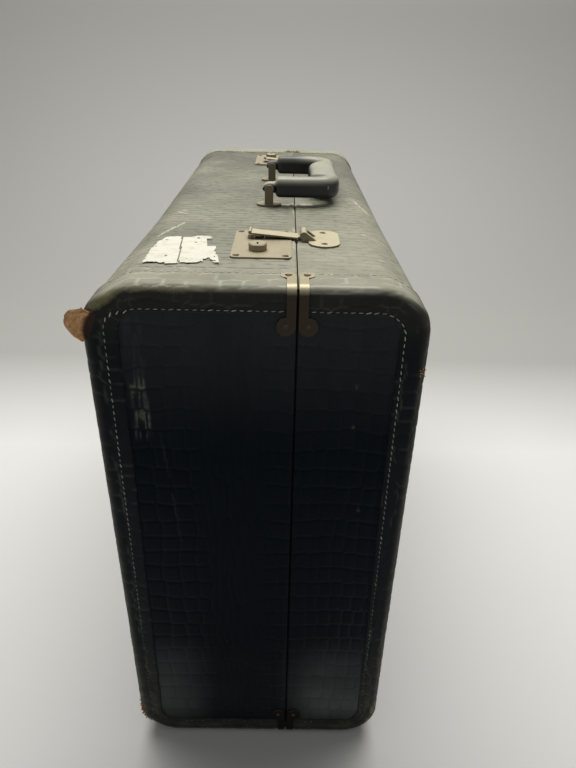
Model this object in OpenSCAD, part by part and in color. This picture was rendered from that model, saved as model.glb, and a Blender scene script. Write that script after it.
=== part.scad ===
// Leather travel case that stands on its hinge side, with two hasp locks and a loop handle.
// X runs through its depth from base to lid, Y along its length, Z up. Sizes are in millimetres.

/* [Case] */
// Length of the case along Y
length = 610; // [540:1:700]
// Height of the case without the handle
height = 469; // [420:1:540]
// Depth of the base half, up to the seam
base_depth = 140; // [125:1:170]
// Depth of the lid half, from the seam
lid_depth = 89; // [85:1:120]
// Radius of the four long corners
corner_r = 34; // [28:1:40]
// Radius of the edges round each end
edge_r = 7; // [5:0.5:7.5]
// Gap between base and lid at the seam
seam_gap = 0.8; // [0.6:0.1:1.2]
// Height of the bevel along the seam on the hinge side
seam_bevel = 3.4; // [3.2:0.1:4]

/* [Layers] */
// Thickness of the wooden boards
board_t = 6; // [5:0.5:7]
// Thickness of the leather cover
cover_t = 1.6; // [1.2:0.1:2]
// How far the end bindings stand proud of the cover
binding_proud = 1; // [1:0.1:1.4]
// Width of the bindings along the length
binding_wrap = 32; // [28:1:36]
// Width of the bindings on the end faces
binding_end = 19; // [15:1:22]
// Thickness of the leather strip on the boards' edges
rim_t = 1.5; // [1:0.1:2]
// Thickness of the cloth lining
lining_t = 0.8; // [0.6:0.1:1]
// Thickness of the glue between layers
glue = 0.1; // [0.05:0.05:0.15]
// Thickness of the lip inside the base
valance_t = 1.2; // [1:0.1:1.6]
// How far the lip reaches into the lid
valance_out = 9; // [6:1:10]
// How far the lip reaches back into the base
valance_back = 10; // [8:1:11]

/* [Clips] */
// Width of a clip's strap
clip_w = 6.5; // [5:0.5:8]
// Thickness of a clip
clip_t = 1; // [0.8:0.1:1.2]
// How far a clip stands proud of the binding
clip_proud = 0.4; // [0.3:0.1:0.5]
// Gap from the seam to a clip
clip_gap = 0.9; // [0.8:0.1:1.2]
// Radius of the tab on the end face
clip_tab_r = 6.6; // [6:0.1:7]
// Radius of the ear on the top
clip_ear_r = 5.5; // [5:0.1:6]
// Distance of the tab's middle from the top
clip_drop = 28; // [24:1:32]
// Distance of the ear's middle from the end
clip_run = 24; // [20:1:25]

/* [Nails] */
// Radius of a nail's shank
nail_r = 0.7; // [0.5:0.1:0.9]
// Radius of a nail's domed head
nail_head_r = 1.8; // [1.5:0.1:2.2]
// Height of a nail's domed head
nail_head_h = 0.8; // [0.6:0.1:1]
// Length of a nail's shank
nail_l = 6.5; // [6:0.5:7]
// Clearance round a shank
nail_fit = 0.05; // [0.03:0.01:0.08]

/* [Locks] */
// Distance from the end to a lock's middle
lock_from_end = 102; // [90:1:115]
// Distance from the seam to a lock plate's middle
lock_from_seam = 27; // [26:1:32]
// Size of a lock plate across the case
plate_w = 46; // [44:1:48]
// Length of a lock plate
plate_l = 76; // [72:1:84]
// Thickness of the lock plates and hasp plates
plate_t = 1; // [0.9:0.05:1.1]
// Corner radius of a lock plate
plate_r = 4; // [2:0.5:5]
// Distance of the nails from a lock plate's edges
plate_nail_in = 4.5; // [4:0.5:5.5]
// Distance of the knob and of the hasp from a lock's middle
latch_off = 17.5; // [16:0.5:19]
// Distance of the knob from the plate's middle line
knob_off = 3; // [2:0.5:4]
// Radius of the knob
knob_r = 7; // [6:0.5:7.5]
// Height of the knob
knob_h = 5; // [4:0.5:6]
// Radius of the knob's stem
stem_r = 2.5; // [2:0.1:3]
// Travel of the knob, from open to locked
knob_travel = 6; // [5.5:0.5:7]
// Clearance of the sliding parts
slide_fit = 0.3; // [0.3:0.05:0.35]
// Thickness of the bolt
bolt_t = 0.7; // [0.6:0.05:0.75]
// Depth of the lock case
case_d = 5; // [4.5:0.1:5.2]
// Thickness of the lock case's walls
case_t = 0.8; // [0.6:0.1:1]

/* [Hasps] */
// Width of a hasp
hasp_w = 13.5; // [12:0.5:15]
// Thickness of a hasp
hasp_t = 1.2; // [1:0.1:1.3]
// Distance from a hasp's pin to its free end
hasp_reach = 43.5; // [42:0.5:46]
// Angle by which a hasp stands off its plate
hasp_rest = 5; // [5:0.5:7]
// Width of a hasp's tongue
tongue_w = 5; // [4:0.5:5.5]
// Radius of the knuckles
knuckle_r = 3.2; // [3:0.1:3.4]
// Length of a hasp's own knuckle
knuckle_l = 8; // [7:0.5:9]
// Length of each knuckle on the hasp plate
side_knuckle_l = 4; // [3:0.5:5]
// Radius of a hasp's pin
hasp_pin_r = 1.2; // [1:0.1:1.4]
// Distance from the seam to a hasp's pin
pin_from_seam = 6; // [5.5:0.5:7]
// Radius of the hasp plate's round ends
hasp_plate_r = 12.5; // [11:0.5:13]
// Distance of each nail from the hasp plate's middle
hasp_nail_off = 16.5; // [15:0.5:18]
// Running clearance of the pins
pin_fit = 0.05; // [0.03:0.01:0.08]

/* [Handle] */
// Distance from the seam to the handle loops
loop_from_seam = 25.5; // [25:0.5:30]
// Distance between the two handle loops
loop_span = 127.4; // [120:0.2:140]
// Height of the handle's pivot above the case
pivot_h = 14.8; // [14:0.2:16]
// Width of a loop's straps
loop_w = 8; // [7:0.5:8.5]
// Thickness of a loop's straps
loop_t = 1.6; // [1.2:0.1:2]
// Room between a loop's straps
loop_room = 12.6; // [12:0.2:13]
// Radius of a loop's bar
loop_bar_r = 2.4; // [2:0.1:2.6]
// Length of a loop's oval plate
loop_plate_l = 24; // [23:0.5:26]
// Width of a loop's oval plate
loop_plate_w = 18; // [17:0.5:20]
// Thickness of a loop's oval plate
loop_plate_t = 1.5; // [1.2:0.1:2]
// Radius of a loop's rivets
rivet_r = 1.8; // [1.5:0.1:2]
// Thickness of the backing plates inside
backing_t = 1.2; // [1:0.1:1.5]
// Thickness of the leather handle
handle_t = 20; // [18:0.5:21]
// Height of the leather handle's middle above its pivot
handle_rise = 3.2; // [2.5:0.1:3.5]
// Width of the handle's legs
leg_w = 17; // [16:0.5:18]
// Width of the grip
grip_w = 30; // [26:0.5:32]
// Distance from the pivot to the grip's outer edge
handle_reach = 70; // [66:1:76]
// Outer radius of the handle's corners
handle_corner_r = 24; // [22:0.5:26]
// Radius of the handle's rounded edges
handle_edge_r = 7.5; // [6:0.5:8]
// Outer radius of the leather round an eye
eye_wrap_r = 6.4; // [6:0.1:6.8]
// Outer radius of the core's eye
eye_r = 4.6; // [4.2:0.1:5]
// Width of an eye
eye_w = 11; // [10:0.5:11.5]
// Width of the steel core
core_w = 6; // [5:0.5:7]
// Thickness of the steel core
core_t = 3; // [2.5:0.1:3.5]

/* [Hinges] */
// Distance of a hinge's middle from the case's end
hinge_from_end = 115; // [90:1:140]
// Length of one hinge knuckle
hinge_knuckle_l = 10; // [8:0.5:12]
// Radius of the hinge knuckles
hinge_r = 1.8; // [1.7:0.05:1.85]
// Radius of the hinge pins
hinge_pin_r = 0.9; // [0.8:0.05:1]
// Reach of a hinge leaf from the pin
leaf_reach = 22; // [18:0.5:24]
// Thickness of a hinge leaf
leaf_t = 0.9; // [0.7:0.05:0.9]
// Clearance round the hinge knuckles
hinge_fit = 0.4; // [0.3:0.05:0.5]

/* [Hidden] */
$fn = 64;
eps = 1;

// Colours
leather = "#2b2f31";
brown_leather = "#33302c";
wood = "#b58a55";
cloth = "#8d7f66";
nickel = "#b9ad8c";
steel = "#8e8c86";

// Sides of the seam
base = -1;
lid = 1;

// Case
half_w = (base_depth + lid_depth) / 2;
half_l = length / 2;
seam_x = base_depth - half_w;
cover_top = height - binding_proud;
binding_t = binding_proud + cover_t;
board_in = binding_t + glue;
room_in = board_in + board_t;
lining_in = room_in + glue;
inner_in = lining_in + lining_t;
board_y = half_l - board_in;
room_y = half_l - room_in;
cover_y = half_l - binding_wrap;
panel_in = binding_end + 2 * glue;
straight_h = height - 2 * corner_r;
side_w = half_w - corner_r;
valance_in = inner_in + glue;
valance_reach = valance_back + valance_out;
lining_gap = 3;
lid_lining_back = valance_out + lining_gap;

// Locks and hasps
plate_top = cover_top + plate_t;
lock_x = seam_x - lock_from_seam;
lock_y = lock_from_end - half_l;
knob_x = lock_x - knob_off;
knob_y = lock_y - latch_off;
hasp_y = lock_y + latch_off;
slot_w = 2 * (stem_r + slide_fit);
tongue_l = tongue_w;
tongue_room_x = 1;
tongue_room_y = 0.5;
hook_in = 3.2;
nose_w = 2.5;
nose_in = 0.3;
hasp_clear = 0.2;
hasp_under = plate_top + hasp_clear;
bolt_top = cover_top - slide_fit;
hook_room = 0.2;
hook_low = bolt_top - bolt_t - hook_room;
hook_tip = 0.3;
bolt_w = 8;
bolt_tail = 6;
nose_y = hasp_y - tongue_w / 2 - tongue_room_y;
case_w = 22;
case_side = case_w / 2;
case_before = 10;
case_after = 8;
case_y0 = knob_y - case_before;
case_y1 = hasp_y + case_after;
case_fit = 0.2;
keyhole_r = 1.1;
keyhole_l = 4.2;
keyhole_d = 3;
knob_bevel = 0.7;
pin_x = seam_x + pin_from_seam;
pin_z = plate_top + slide_fit + knuckle_r;
neck_gap = 1.3;
knuckle_gap = 0.25;
hasp_plate_gap = 0.6;
neck_x = pin_x - knuckle_r - neck_gap;
side_knuckle_y = knuckle_l / 2 + knuckle_gap;
hasp_plate_x = pin_x + knuckle_r + hasp_plate_gap;
hasp_plate_mid = hasp_plate_x + hasp_plate_r;
hasp_plate_off = 12;
web_back = 2;
web_run = 10;
lip_r = 1.3;

// Handle
loop_x = seam_x - loop_from_seam;
loop_y = loop_span / 2;
pivot_z = height + pivot_h;
strap_y = loop_room / 2;
rivet_x = 7.8;
backing_z = height - inner_in - glue - backing_t;
rivet_head_r = 3;
rivet_head_h = 1;
handle_mid_z = pivot_z + handle_rise;
corner_path_r = handle_corner_r - leg_w / 2;
corner_x = handle_reach - handle_corner_r;
corner_y = loop_y + leg_w / 2 - handle_corner_r;
leg_gap = 2.5;
leg_x0 = loop_w / 2 + leg_gap;
grip_x = handle_reach - grip_w / 2;
grip_end_y = loop_y - leg_w / 2 - grip_w / 2;
core_rise = 0.6;
core_z = pivot_z + core_rise;
core_fit = 0.1;

// Hinges
hinge_off = half_l - hinge_from_end;
hinge_low = 0.1;
hinge_z = hinge_r + hinge_low;
hinge_knuckles = 5;
hinge_l = hinge_knuckles * hinge_knuckle_l;
hinge_gap = 0.2;
hinge_nail_x = 14;
hinge_nail_short = 1;
hinge_nail_in = 7;
hinge_nail_top = room_in - hinge_nail_short;
hinge_nail_y = hinge_l / 2 - hinge_nail_in;

// Outline of the case seen along its length, drawn this far inside its outer size
module outline(inset) {
  for (sx = [-1, 1], sz = [0, 1])
    translate([sx * side_w, corner_r + sz * straight_h]) circle(corner_r - inset);
  translate([inset - half_w, corner_r]) square([2 * (half_w - inset), straight_h]);
  translate([-side_w, inset]) square([2 * side_w, height - 2 * inset]);
}

// Groove that frees the two halves' edges as the lid turns
module bevel_outline()
  polygon([[seam_x - seam_bevel - eps, -eps], [seam_x + seam_bevel + eps, -eps], [seam_x, seam_bevel]]);

// All that lies on one side of the seam, this far back from it
module half_mask(side, back = 0) {
  edge = seam_gap / 2 + back;
  difference() {
    if (side == base)
      translate([-half_w - eps, -eps]) square([base_depth + eps - edge, height + 2 * eps]);
    else
      translate([seam_x + edge, -eps]) square([lid_depth + eps - edge, height + 2 * eps]);
    bevel_outline();
  }
}

module half_outline(side, inset, back = 0)
  intersection() {
    outline(inset);
    half_mask(side, back);
  }

module along_y(y0, y1)
  translate([0, y1, 0]) rotate([90, 0, 0]) linear_extrude(y1 - y0) children();

module both_ends() {
  children();
  mirror([0, 1, 0]) children();
}

module bevel_groove() along_y(-half_l - eps, half_l + eps) bevel_outline();

module hinge_ways()
  for (s = [-1, 1])
    translate([seam_x, s * hinge_off, hinge_z]) rotate([90, 0, 0])
      cylinder(r = hinge_r + hinge_fit, h = hinge_l + 2 * hinge_fit, center = true);

// Nails, with their places
module nail() {
  dome_r = (nail_head_r * nail_head_r + nail_head_h * nail_head_h) / (2 * nail_head_h);
  intersection() {
    translate([0, 0, nail_head_h - dome_r]) sphere(dome_r);
    cylinder(r = nail_head_r, h = nail_head_h);
  }
  translate([0, 0, -nail_l]) cylinder(r = nail_r, h = nail_l);
}

module nail_bore() translate([0, 0, -nail_l - glue]) cylinder(r = nail_r + nail_fit, h = nail_l + eps);

function clip_x0(side) = side == base ? seam_x - clip_gap - clip_w : seam_x + clip_gap;
function clip_mid(side, r) = seam_x + side * (clip_gap + r);

module at_corners()
  both_ends() for (low = [0, 1])
    translate([0, 0, low * height]) mirror([0, 0, low]) children();

module at_clip_nails(side) {
  both_ends()
    translate([clip_mid(side, clip_ear_r), clip_run - half_l, height + clip_proud]) children();
  at_corners()
    translate([clip_mid(side, clip_tab_r), -half_l - clip_proud, height - clip_drop])
      rotate([90, 0, 0]) children();
}

module at_plate_nails()
  both_ends() for (sx = [-1, 1], sy = [-1, 1])
    translate([
      lock_x + sx * (plate_w / 2 - plate_nail_in), lock_y + sy * (plate_l / 2 - plate_nail_in), plate_top
    ]) children();

module at_hasp_nails()
  both_ends() for (s = [-1, 1])
    translate([hasp_plate_mid, hasp_y + s * hasp_nail_off, plate_top]) children();

module at_hinge_nails(side)
  for (h = [-1, 1], s = [-1, 0, 1])
    translate([seam_x + side * hinge_nail_x, h * hinge_off + s * hinge_nail_y, hinge_low]) children();

module hinge_nail_bores(side)
  at_hinge_nails(side) translate([0, 0, -eps])
    cylinder(r = nail_r + nail_fit, h = hinge_nail_top - hinge_low + eps + glue);

module nail_bores(side) {
  at_clip_nails(side) nail_bore();
  hinge_nail_bores(side);
  if (side == base) at_plate_nails() nail_bore();
  if (side == lid) at_hasp_nails() nail_bore();
}

module nails(side) {
  at_clip_nails(side) nail();
  at_hinge_nails(side) cylinder(r = nail_r, h = hinge_nail_top - hinge_low);
  if (side == base) at_plate_nails() nail();
  if (side == lid) at_hasp_nails() nail();
}

// Boards of one half
module lock_mortises()
  both_ends()
    translate([knob_x - case_side - case_fit, case_y0 - case_fit, cover_top - case_d - glue])
      cube([case_w + 2 * case_fit, case_y1 - case_y0 + 2 * case_fit, case_d + eps]);

module rivet_bores()
  for (sy = [-1, 1], sx = [-1, 1])
    translate([loop_x + sx * rivet_x, sy * loop_y, backing_z - eps])
      cylinder(r = rivet_r + nail_fit, h = height - backing_z + eps);

module flat_board(side, z0) {
  w = (side == base ? base_depth : lid_depth) - corner_r - seam_gap / 2 - rim_t;
  x0 = side == base ? -side_w : seam_x + seam_gap / 2 + rim_t;
  translate([x0, -room_y, z0]) cube([w, 2 * room_y, board_t]);
}

module top_board(side)
  color(wood) difference() {
    flat_board(side, height - room_in);
    nail_bores(side);
    if (side == base) lock_mortises();
    if (side == base) rivet_bores();
  }

module bottom_board(side)
  color(wood) difference() {
    flat_board(side, board_in);
    bevel_groove();
    hinge_ways();
    nail_bores(side);
  }

module side_board(side) {
  x0 = side == base ? board_in - half_w : half_w - room_in;
  color(wood) translate([x0, -room_y, corner_r]) cube([board_t, 2 * room_y, straight_h]);
}

module end_board(side)
  color(wood) difference() {
    along_y(-board_y, -room_y) half_outline(side, board_in, rim_t);
    nail_bores(side);
  }

module corner_rail(side, up) {
  r = corner_r - board_in;
  color(wood) along_y(-room_y, room_y)
    translate([side * side_w, corner_r + up * straight_h]) intersection() {
      difference() {
        circle(r);
        circle(r - board_t);
      }
      translate([side == base ? -r : 0, up == 0 ? -r : 0]) square(r);
    }
}

// Leather of one half
module cover(side)
  color(leather) difference() {
    along_y(-cover_y, cover_y) difference() {
      half_outline(side, binding_proud);
      outline(binding_t);
    }
    hinge_ways();
    nail_bores(side);
    if (side == base) lock_mortises();
    if (side == base) rivet_bores();
  }

module end_panels(side)
  color(leather) difference() {
    both_ends() along_y(binding_proud - half_l, binding_t - half_l) half_outline(side, panel_in);
    nail_bores(side);
  }

// Section of a binding: first along the outward direction, then inward along the length
module binding_section() {
  difference() {
    union() {
      translate([corner_r - binding_end, 0]) square([binding_end - edge_r, binding_wrap]);
      translate([corner_r - binding_end, edge_r]) square([binding_end, binding_wrap - edge_r]);
      translate([corner_r - edge_r, edge_r]) circle(edge_r);
    }
    translate([corner_r - binding_end - eps, binding_t])
      square([binding_end + eps - binding_t, binding_wrap]);
  }
}

module binding_run(x, z, turn, run)
  translate([x, -half_l, z]) rotate([0, -turn, 0]) linear_extrude(run) binding_section();

module binding_corner(x, z, turn)
  translate([x, -half_l, z]) rotate([0, -turn, 0]) rotate([90, 0, 0])
    rotate_extrude(angle = 90) mirror([0, 1, 0]) binding_section();

module binding(side) {
  x = side * side_w;
  edge = seam_x + side * seam_gap / 2;
  run = abs(edge - x);
  top = height - corner_r;
  color(leather) difference() {
    union() {
      binding_run(side == base ? edge : x, top, 90, run);
      binding_run(side == base ? x : edge, corner_r, 270, run);
      binding_run(x, side == base ? top : corner_r, side == base ? 180 : 0, straight_h);
      binding_corner(x, top, side == base ? 90 : 0);
      binding_corner(x, corner_r, side == base ? 180 : 270);
    }
    bevel_groove();
    clips(side, glue);
    nail_bores(side);
  }
}

module rim(side) {
  x0 = side == base ? seam_x - seam_gap / 2 - rim_t : seam_x + seam_gap / 2;
  color(brown_leather) difference() {
    translate([x0, -board_y, board_in]) cube([rim_t, 2 * board_y, height - 2 * board_in]);
    translate([x0 - eps, -room_y, room_in]) cube([rim_t + 2 * eps, 2 * room_y, height - 2 * room_in]);
    bevel_groove();
    hinge_ways();
  }
}

module lining(side, back) {
  y = room_y - glue;
  color(cloth) difference() {
    along_y(-y, y) half_outline(side, lining_in, back);
    along_y(lining_t - y, y - lining_t) outline(inner_in);
    if (side == base) rivet_bores();
  }
}

module base_valance() {
  y = half_l - valance_in;
  z = height - 2 * valance_in;
  color(brown_leather) translate([seam_x - valance_back, -y, valance_in]) difference() {
    cube([valance_reach, 2 * y, z]);
    translate([-eps, valance_t, valance_t])
      cube([valance_reach + 2 * eps, 2 * (y - valance_t), z - 2 * valance_t]);
  }
}

// Corner clips: a strap bent over the end edge, with a round tab and a round ear
module clip_section(extra) {
  outer = edge_r + clip_proud;
  thick = clip_t + extra;
  translate([-clip_proud, edge_r]) square([thick, clip_drop - edge_r]);
  translate([edge_r, -clip_proud]) square([clip_run - edge_r, thick]);
  intersection() {
    translate([edge_r, edge_r]) difference() {
      circle(outer);
      circle(outer - thick);
    }
    translate([-clip_proud, -clip_proud]) square(outer);
  }
}

module clip(side, extra) {
  thick = clip_t + extra;
  x1 = clip_x0(side) + clip_w + extra;
  multmatrix([[0, 0, -1, x1], [1, 0, 0, -half_l], [0, -1, 0, height], [0, 0, 0, 1]])
    linear_extrude(clip_w + 2 * extra) clip_section(extra);
  translate([clip_mid(side, clip_tab_r), thick - half_l - clip_proud, height - clip_drop])
    rotate([90, 0, 0]) cylinder(r = clip_tab_r + extra, h = thick);
  translate([clip_mid(side, clip_ear_r), clip_run - half_l, height + clip_proud - thick])
    cylinder(r = clip_ear_r + extra, h = thick);
}

module clips(side, extra = 0) at_corners() clip(side, extra);

module clip_set(side)
  color(nickel) difference() {
    clips(side);
    bevel_groove();
    translate([-half_w, -length, -2 * eps]) cube([2 * half_w, 2 * length, 2 * eps]);
    nail_bores(side);
  }

// Locks, drawn for the near end
module lock_plate()
  color(nickel) difference() {
    translate([lock_x, lock_y, cover_top]) linear_extrude(plate_t) {
      for (sx = [-1, 1], sy = [-1, 1])
        translate([sx * (plate_w / 2 - plate_r), sy * (plate_l / 2 - plate_r)]) circle(plate_r);
      square([plate_w, plate_l - 2 * plate_r], center = true);
      square([plate_w - 2 * plate_r, plate_l], center = true);
    }
    translate([knob_x - slot_w / 2, knob_y, cover_top - eps])
      cube([slot_w, knob_travel, plate_t + 2 * eps]);
    for (y = [knob_y, knob_y + knob_travel])
      translate([knob_x, y, cover_top - eps]) cylinder(d = slot_w, h = plate_t + 2 * eps);
    translate([
      knob_x - tongue_l / 2 - tongue_room_x, hasp_y - tongue_w / 2 - tongue_room_y, cover_top - eps
    ]) cube([tongue_l + 2 * tongue_room_x, tongue_w + 2 * tongue_room_y, plate_t + 2 * eps]);
    at_plate_nails() nail_bore();
  }

module lock_case() {
  l = case_y1 - case_y0;
  color(steel) translate([knob_x - case_side, case_y0, cover_top - case_d]) difference() {
    cube([case_w, l, case_d]);
    translate([case_t, case_t, case_t]) cube([case_w - 2 * case_t, l - 2 * case_t, case_d]);
  }
}

module lock_bolt()
  color(steel) {
    translate([knob_x - bolt_w / 2, knob_y - bolt_tail, bolt_top - bolt_t])
      cube([bolt_w, 2 * bolt_tail, bolt_t]);
    translate([knob_x + nose_in - nose_w, knob_y, bolt_top - bolt_t])
      cube([nose_w, nose_y - knob_y, bolt_t]);
  }

module lock_knob()
  color(nickel) difference() {
    translate([knob_x, knob_y, 0]) {
      translate([0, 0, bolt_top]) cylinder(r = stem_r, h = plate_top + slide_fit + knob_bevel - bolt_top);
      translate([0, 0, plate_top + slide_fit]) cylinder(r = knob_r, h = knob_h - knob_bevel);
      translate([0, 0, plate_top + slide_fit + knob_h - knob_bevel])
        cylinder(r1 = knob_r, r2 = knob_r - knob_bevel, h = knob_bevel);
    }
    translate([knob_x, knob_y, plate_top + slide_fit + knob_h - keyhole_d]) {
      cylinder(r = keyhole_r, h = keyhole_d + eps);
      translate([-keyhole_r / 2, -keyhole_l, 0]) cube([keyhole_r, keyhole_l, keyhole_d + eps]);
    }
  }

// Hasps, drawn for the near end
module hasp_plate()
  color(nickel) difference() {
    union() {
      translate([hasp_plate_mid, hasp_y, cover_top]) linear_extrude(plate_t) {
        for (s = [-1, 1]) translate([0, s * hasp_plate_off]) circle(hasp_plate_r);
        square([2 * hasp_plate_r, 2 * hasp_plate_off], center = true);
      }
      for (s = [-1, 1]) translate([0, hasp_y + s * (side_knuckle_y + side_knuckle_l / 2), 0]) {
        translate([pin_x, 0, pin_z]) rotate([90, 0, 0])
          cylinder(r = knuckle_r, h = side_knuckle_l, center = true);
        along_y(-side_knuckle_l / 2, side_knuckle_l / 2) polygon([
          [pin_x - web_back, cover_top], [pin_x + web_run, cover_top], [pin_x + web_run, plate_top],
          [pin_x + knuckle_r * cos(45), pin_z + knuckle_r * sin(45)], [pin_x - web_back, pin_z]
        ]);
      }
    }
    translate([pin_x, hasp_y, pin_z]) rotate([90, 0, 0])
      cylinder(r = hasp_pin_r + pin_fit, h = 2 * (side_knuckle_y + side_knuckle_l + eps), center = true);
    at_hasp_nails() nail_bore();
  }

module hasp_pin()
  color(steel) translate([pin_x, hasp_y, pin_z]) rotate([90, 0, 0])
    cylinder(r = hasp_pin_r, h = 2 * (side_knuckle_y + side_knuckle_l), center = true);

module latched_hasp() {
  free_x = pin_x - hasp_reach;
  difference() {
    union() {
      translate([free_x, hasp_y - hasp_w / 2, hasp_under]) cube([neck_x - free_x, hasp_w, hasp_t]);
      translate([neck_x - eps, hasp_y - knuckle_l / 2, hasp_under])
        cube([pin_x - neck_x + eps, knuckle_l, hasp_t]);
      translate([pin_x, hasp_y, pin_z]) rotate([90, 0, 0])
        cylinder(r = knuckle_r, h = knuckle_l, center = true);
      translate([free_x, hasp_y, hasp_under + lip_r]) rotate([90, 0, 0])
        cylinder(r = lip_r, h = hasp_w, center = true);
      translate([knob_x - tongue_l / 2, hasp_y - tongue_w / 2, hook_low - hook_tip])
        cube([tongue_l, tongue_w, hasp_under + hasp_t / 2 - hook_low + hook_tip]);
    }
    translate([knob_x - tongue_l / 2 - eps, hasp_y - tongue_w / 2 - eps, hook_low])
      cube([hook_in + eps, tongue_w + 2 * eps, bolt_t + 2 * hook_room]);
    translate([pin_x, hasp_y, pin_z]) rotate([90, 0, 0])
      cylinder(r = hasp_pin_r + pin_fit, h = knuckle_l + 2 * eps, center = true);
  }
}

module hasp()
  color(nickel)
    translate([pin_x, 0, pin_z]) rotate([0, hasp_rest, 0]) translate([-pin_x, 0, -pin_z]) latched_hasp();

// Handle and its loops
module handle_loop()
  color(nickel) translate([loop_x, -loop_y, 0]) {
    translate([0, 0, cover_top]) linear_extrude(loop_plate_t) {
      for (s = [-1, 1]) translate([s * (loop_plate_l - loop_plate_w) / 2, 0]) circle(d = loop_plate_w);
      square([loop_plate_l - loop_plate_w, loop_plate_w], center = true);
    }
    for (s = [-1, 1]) translate([0, s * (strap_y + loop_t / 2), 0])
      along_y(-loop_t / 2, loop_t / 2) {
        translate([-loop_w / 2, cover_top]) square([loop_w, pivot_z - cover_top]);
        translate([0, pivot_z]) circle(d = loop_w);
      }
    translate([0, 0, pivot_z]) rotate([90, 0, 0])
      cylinder(r = loop_bar_r, h = loop_room + loop_t, center = true);
    for (s = [-1, 1]) translate([s * rivet_x, 0, 0]) {
      translate([0, 0, backing_z]) cylinder(r = rivet_r, h = cover_top - backing_z + loop_plate_t / 2);
      translate([0, 0, backing_z - rivet_head_h]) cylinder(r = rivet_head_r, h = rivet_head_h);
    }
  }

module handle_backing_plates()
  color(steel) difference() {
    for (s = [-1, 1])
      translate([loop_x - loop_plate_l / 2, s * loop_y - loop_plate_w / 2, backing_z])
        cube([loop_plate_l, loop_plate_w, backing_t]);
    rivet_bores();
  }

module handle_core_shape(extra) {
  t = core_t + 2 * extra;
  w = core_w + 2 * extra;
  for (s = [-1, 1]) translate([0, s * loop_y - w / 2, core_z - extra])
    cube([grip_x + w / 2, w, t]);
  translate([grip_x - w / 2, -loop_y, core_z - extra]) cube([w, loop_span, t]);
}

module handle_core()
  color(steel) translate([loop_x, 0, 0]) difference() {
    union() {
      handle_core_shape(0);
      for (s = [-1, 1]) translate([0, s * loop_y, pivot_z]) rotate([90, 0, 0])
        cylinder(r = eye_r, h = eye_w, center = true);
    }
    for (s = [-1, 1]) translate([0, s * loop_y, pivot_z]) rotate([90, 0, 0])
      cylinder(r = loop_bar_r + pin_fit, h = eye_w + 2 * eps, center = true);
  }

// Section of the leather handle, with rounded edges
module handle_section(w) {
  x = w / 2 - handle_edge_r;
  z = handle_t / 2 - handle_edge_r;
  for (sx = [-1, 1], sz = [-1, 1]) translate([sx * x, sz * z]) circle(handle_edge_r);
  square([w, 2 * z], center = true);
  square([2 * x, handle_t], center = true);
}

module handle_side() {
  translate([leg_x0, -loop_y, handle_mid_z]) rotate([90, 0, 90])
    linear_extrude(corner_x - leg_x0) handle_section(leg_w);
  translate([corner_x, -corner_y, handle_mid_z]) rotate([0, 0, -90])
    rotate_extrude(angle = 90) translate([corner_path_r, 0]) handle_section(leg_w);
  translate([grip_x, -grip_end_y, handle_mid_z]) rotate([0, 0, 180])
    rotate_extrude(angle = 180) intersection() {
      handle_section(grip_w);
      translate([0, -handle_t]) square(2 * handle_t);
    }
  translate([grip_x + (grip_w - leg_w) / 2, -grip_end_y, handle_mid_z]) rotate([90, 0, 0])
    linear_extrude(corner_y - grip_end_y) handle_section(leg_w);
  translate([0, -loop_y, pivot_z]) rotate([90, 0, 0])
    cylinder(r = eye_wrap_r, h = eye_w, center = true);
  translate([0, -loop_y - eye_w / 2, pivot_z - eye_wrap_r / 2])
    cube([leg_x0 + eps, eye_w, handle_rise + eye_wrap_r]);
}

module handle_leather()
  color(leather) translate([loop_x, 0, 0]) difference() {
    union() {
      both_ends() handle_side();
      translate([grip_x, grip_end_y, handle_mid_z]) rotate([90, 0, 0])
        linear_extrude(2 * grip_end_y) handle_section(grip_w);
    }
    handle_core_shape(core_fit);
    for (s = [-1, 1]) translate([0, s * loop_y, pivot_z]) rotate([90, 0, 0])
      cylinder(r = eye_r + core_fit, h = eye_w + 2 * eps, center = true);
  }

// Hinges, drawn for the near end
module hinge_leaf(side) {
  own = side == base ? 0 : 1;
  clear = hinge_r + hinge_fit;
  y0 = -hinge_off - hinge_l / 2;
  color(nickel) difference() {
    union() {
      translate([side == base ? seam_x - leaf_reach : seam_x, y0, hinge_low])
        cube([leaf_reach, hinge_l, leaf_t]);
      for (i = [own : 2 : hinge_knuckles - 1])
        translate([seam_x, y0 + i * hinge_knuckle_l + hinge_gap / 2, hinge_z]) rotate([-90, 0, 0])
          cylinder(r = hinge_r, h = hinge_knuckle_l - hinge_gap);
    }
    for (i = [1 - own : 2 : hinge_knuckles - 1])
      translate([seam_x - clear, y0 + i * hinge_knuckle_l - hinge_gap / 2, -eps])
        cube([2 * clear, hinge_knuckle_l + hinge_gap, hinge_r + 2 * eps + clear]);
    translate([seam_x, -hinge_off, hinge_z]) rotate([90, 0, 0])
      cylinder(r = hinge_pin_r + pin_fit, h = hinge_l + 2 * eps, center = true);
    hinge_nail_bores(side);
  }
}

module hinge_pin()
  color(steel) translate([seam_x, -hinge_off, hinge_z]) rotate([90, 0, 0])
    cylinder(r = hinge_pin_r, h = hinge_l, center = true);

module far() mirror([0, 1, 0]) children();

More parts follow.
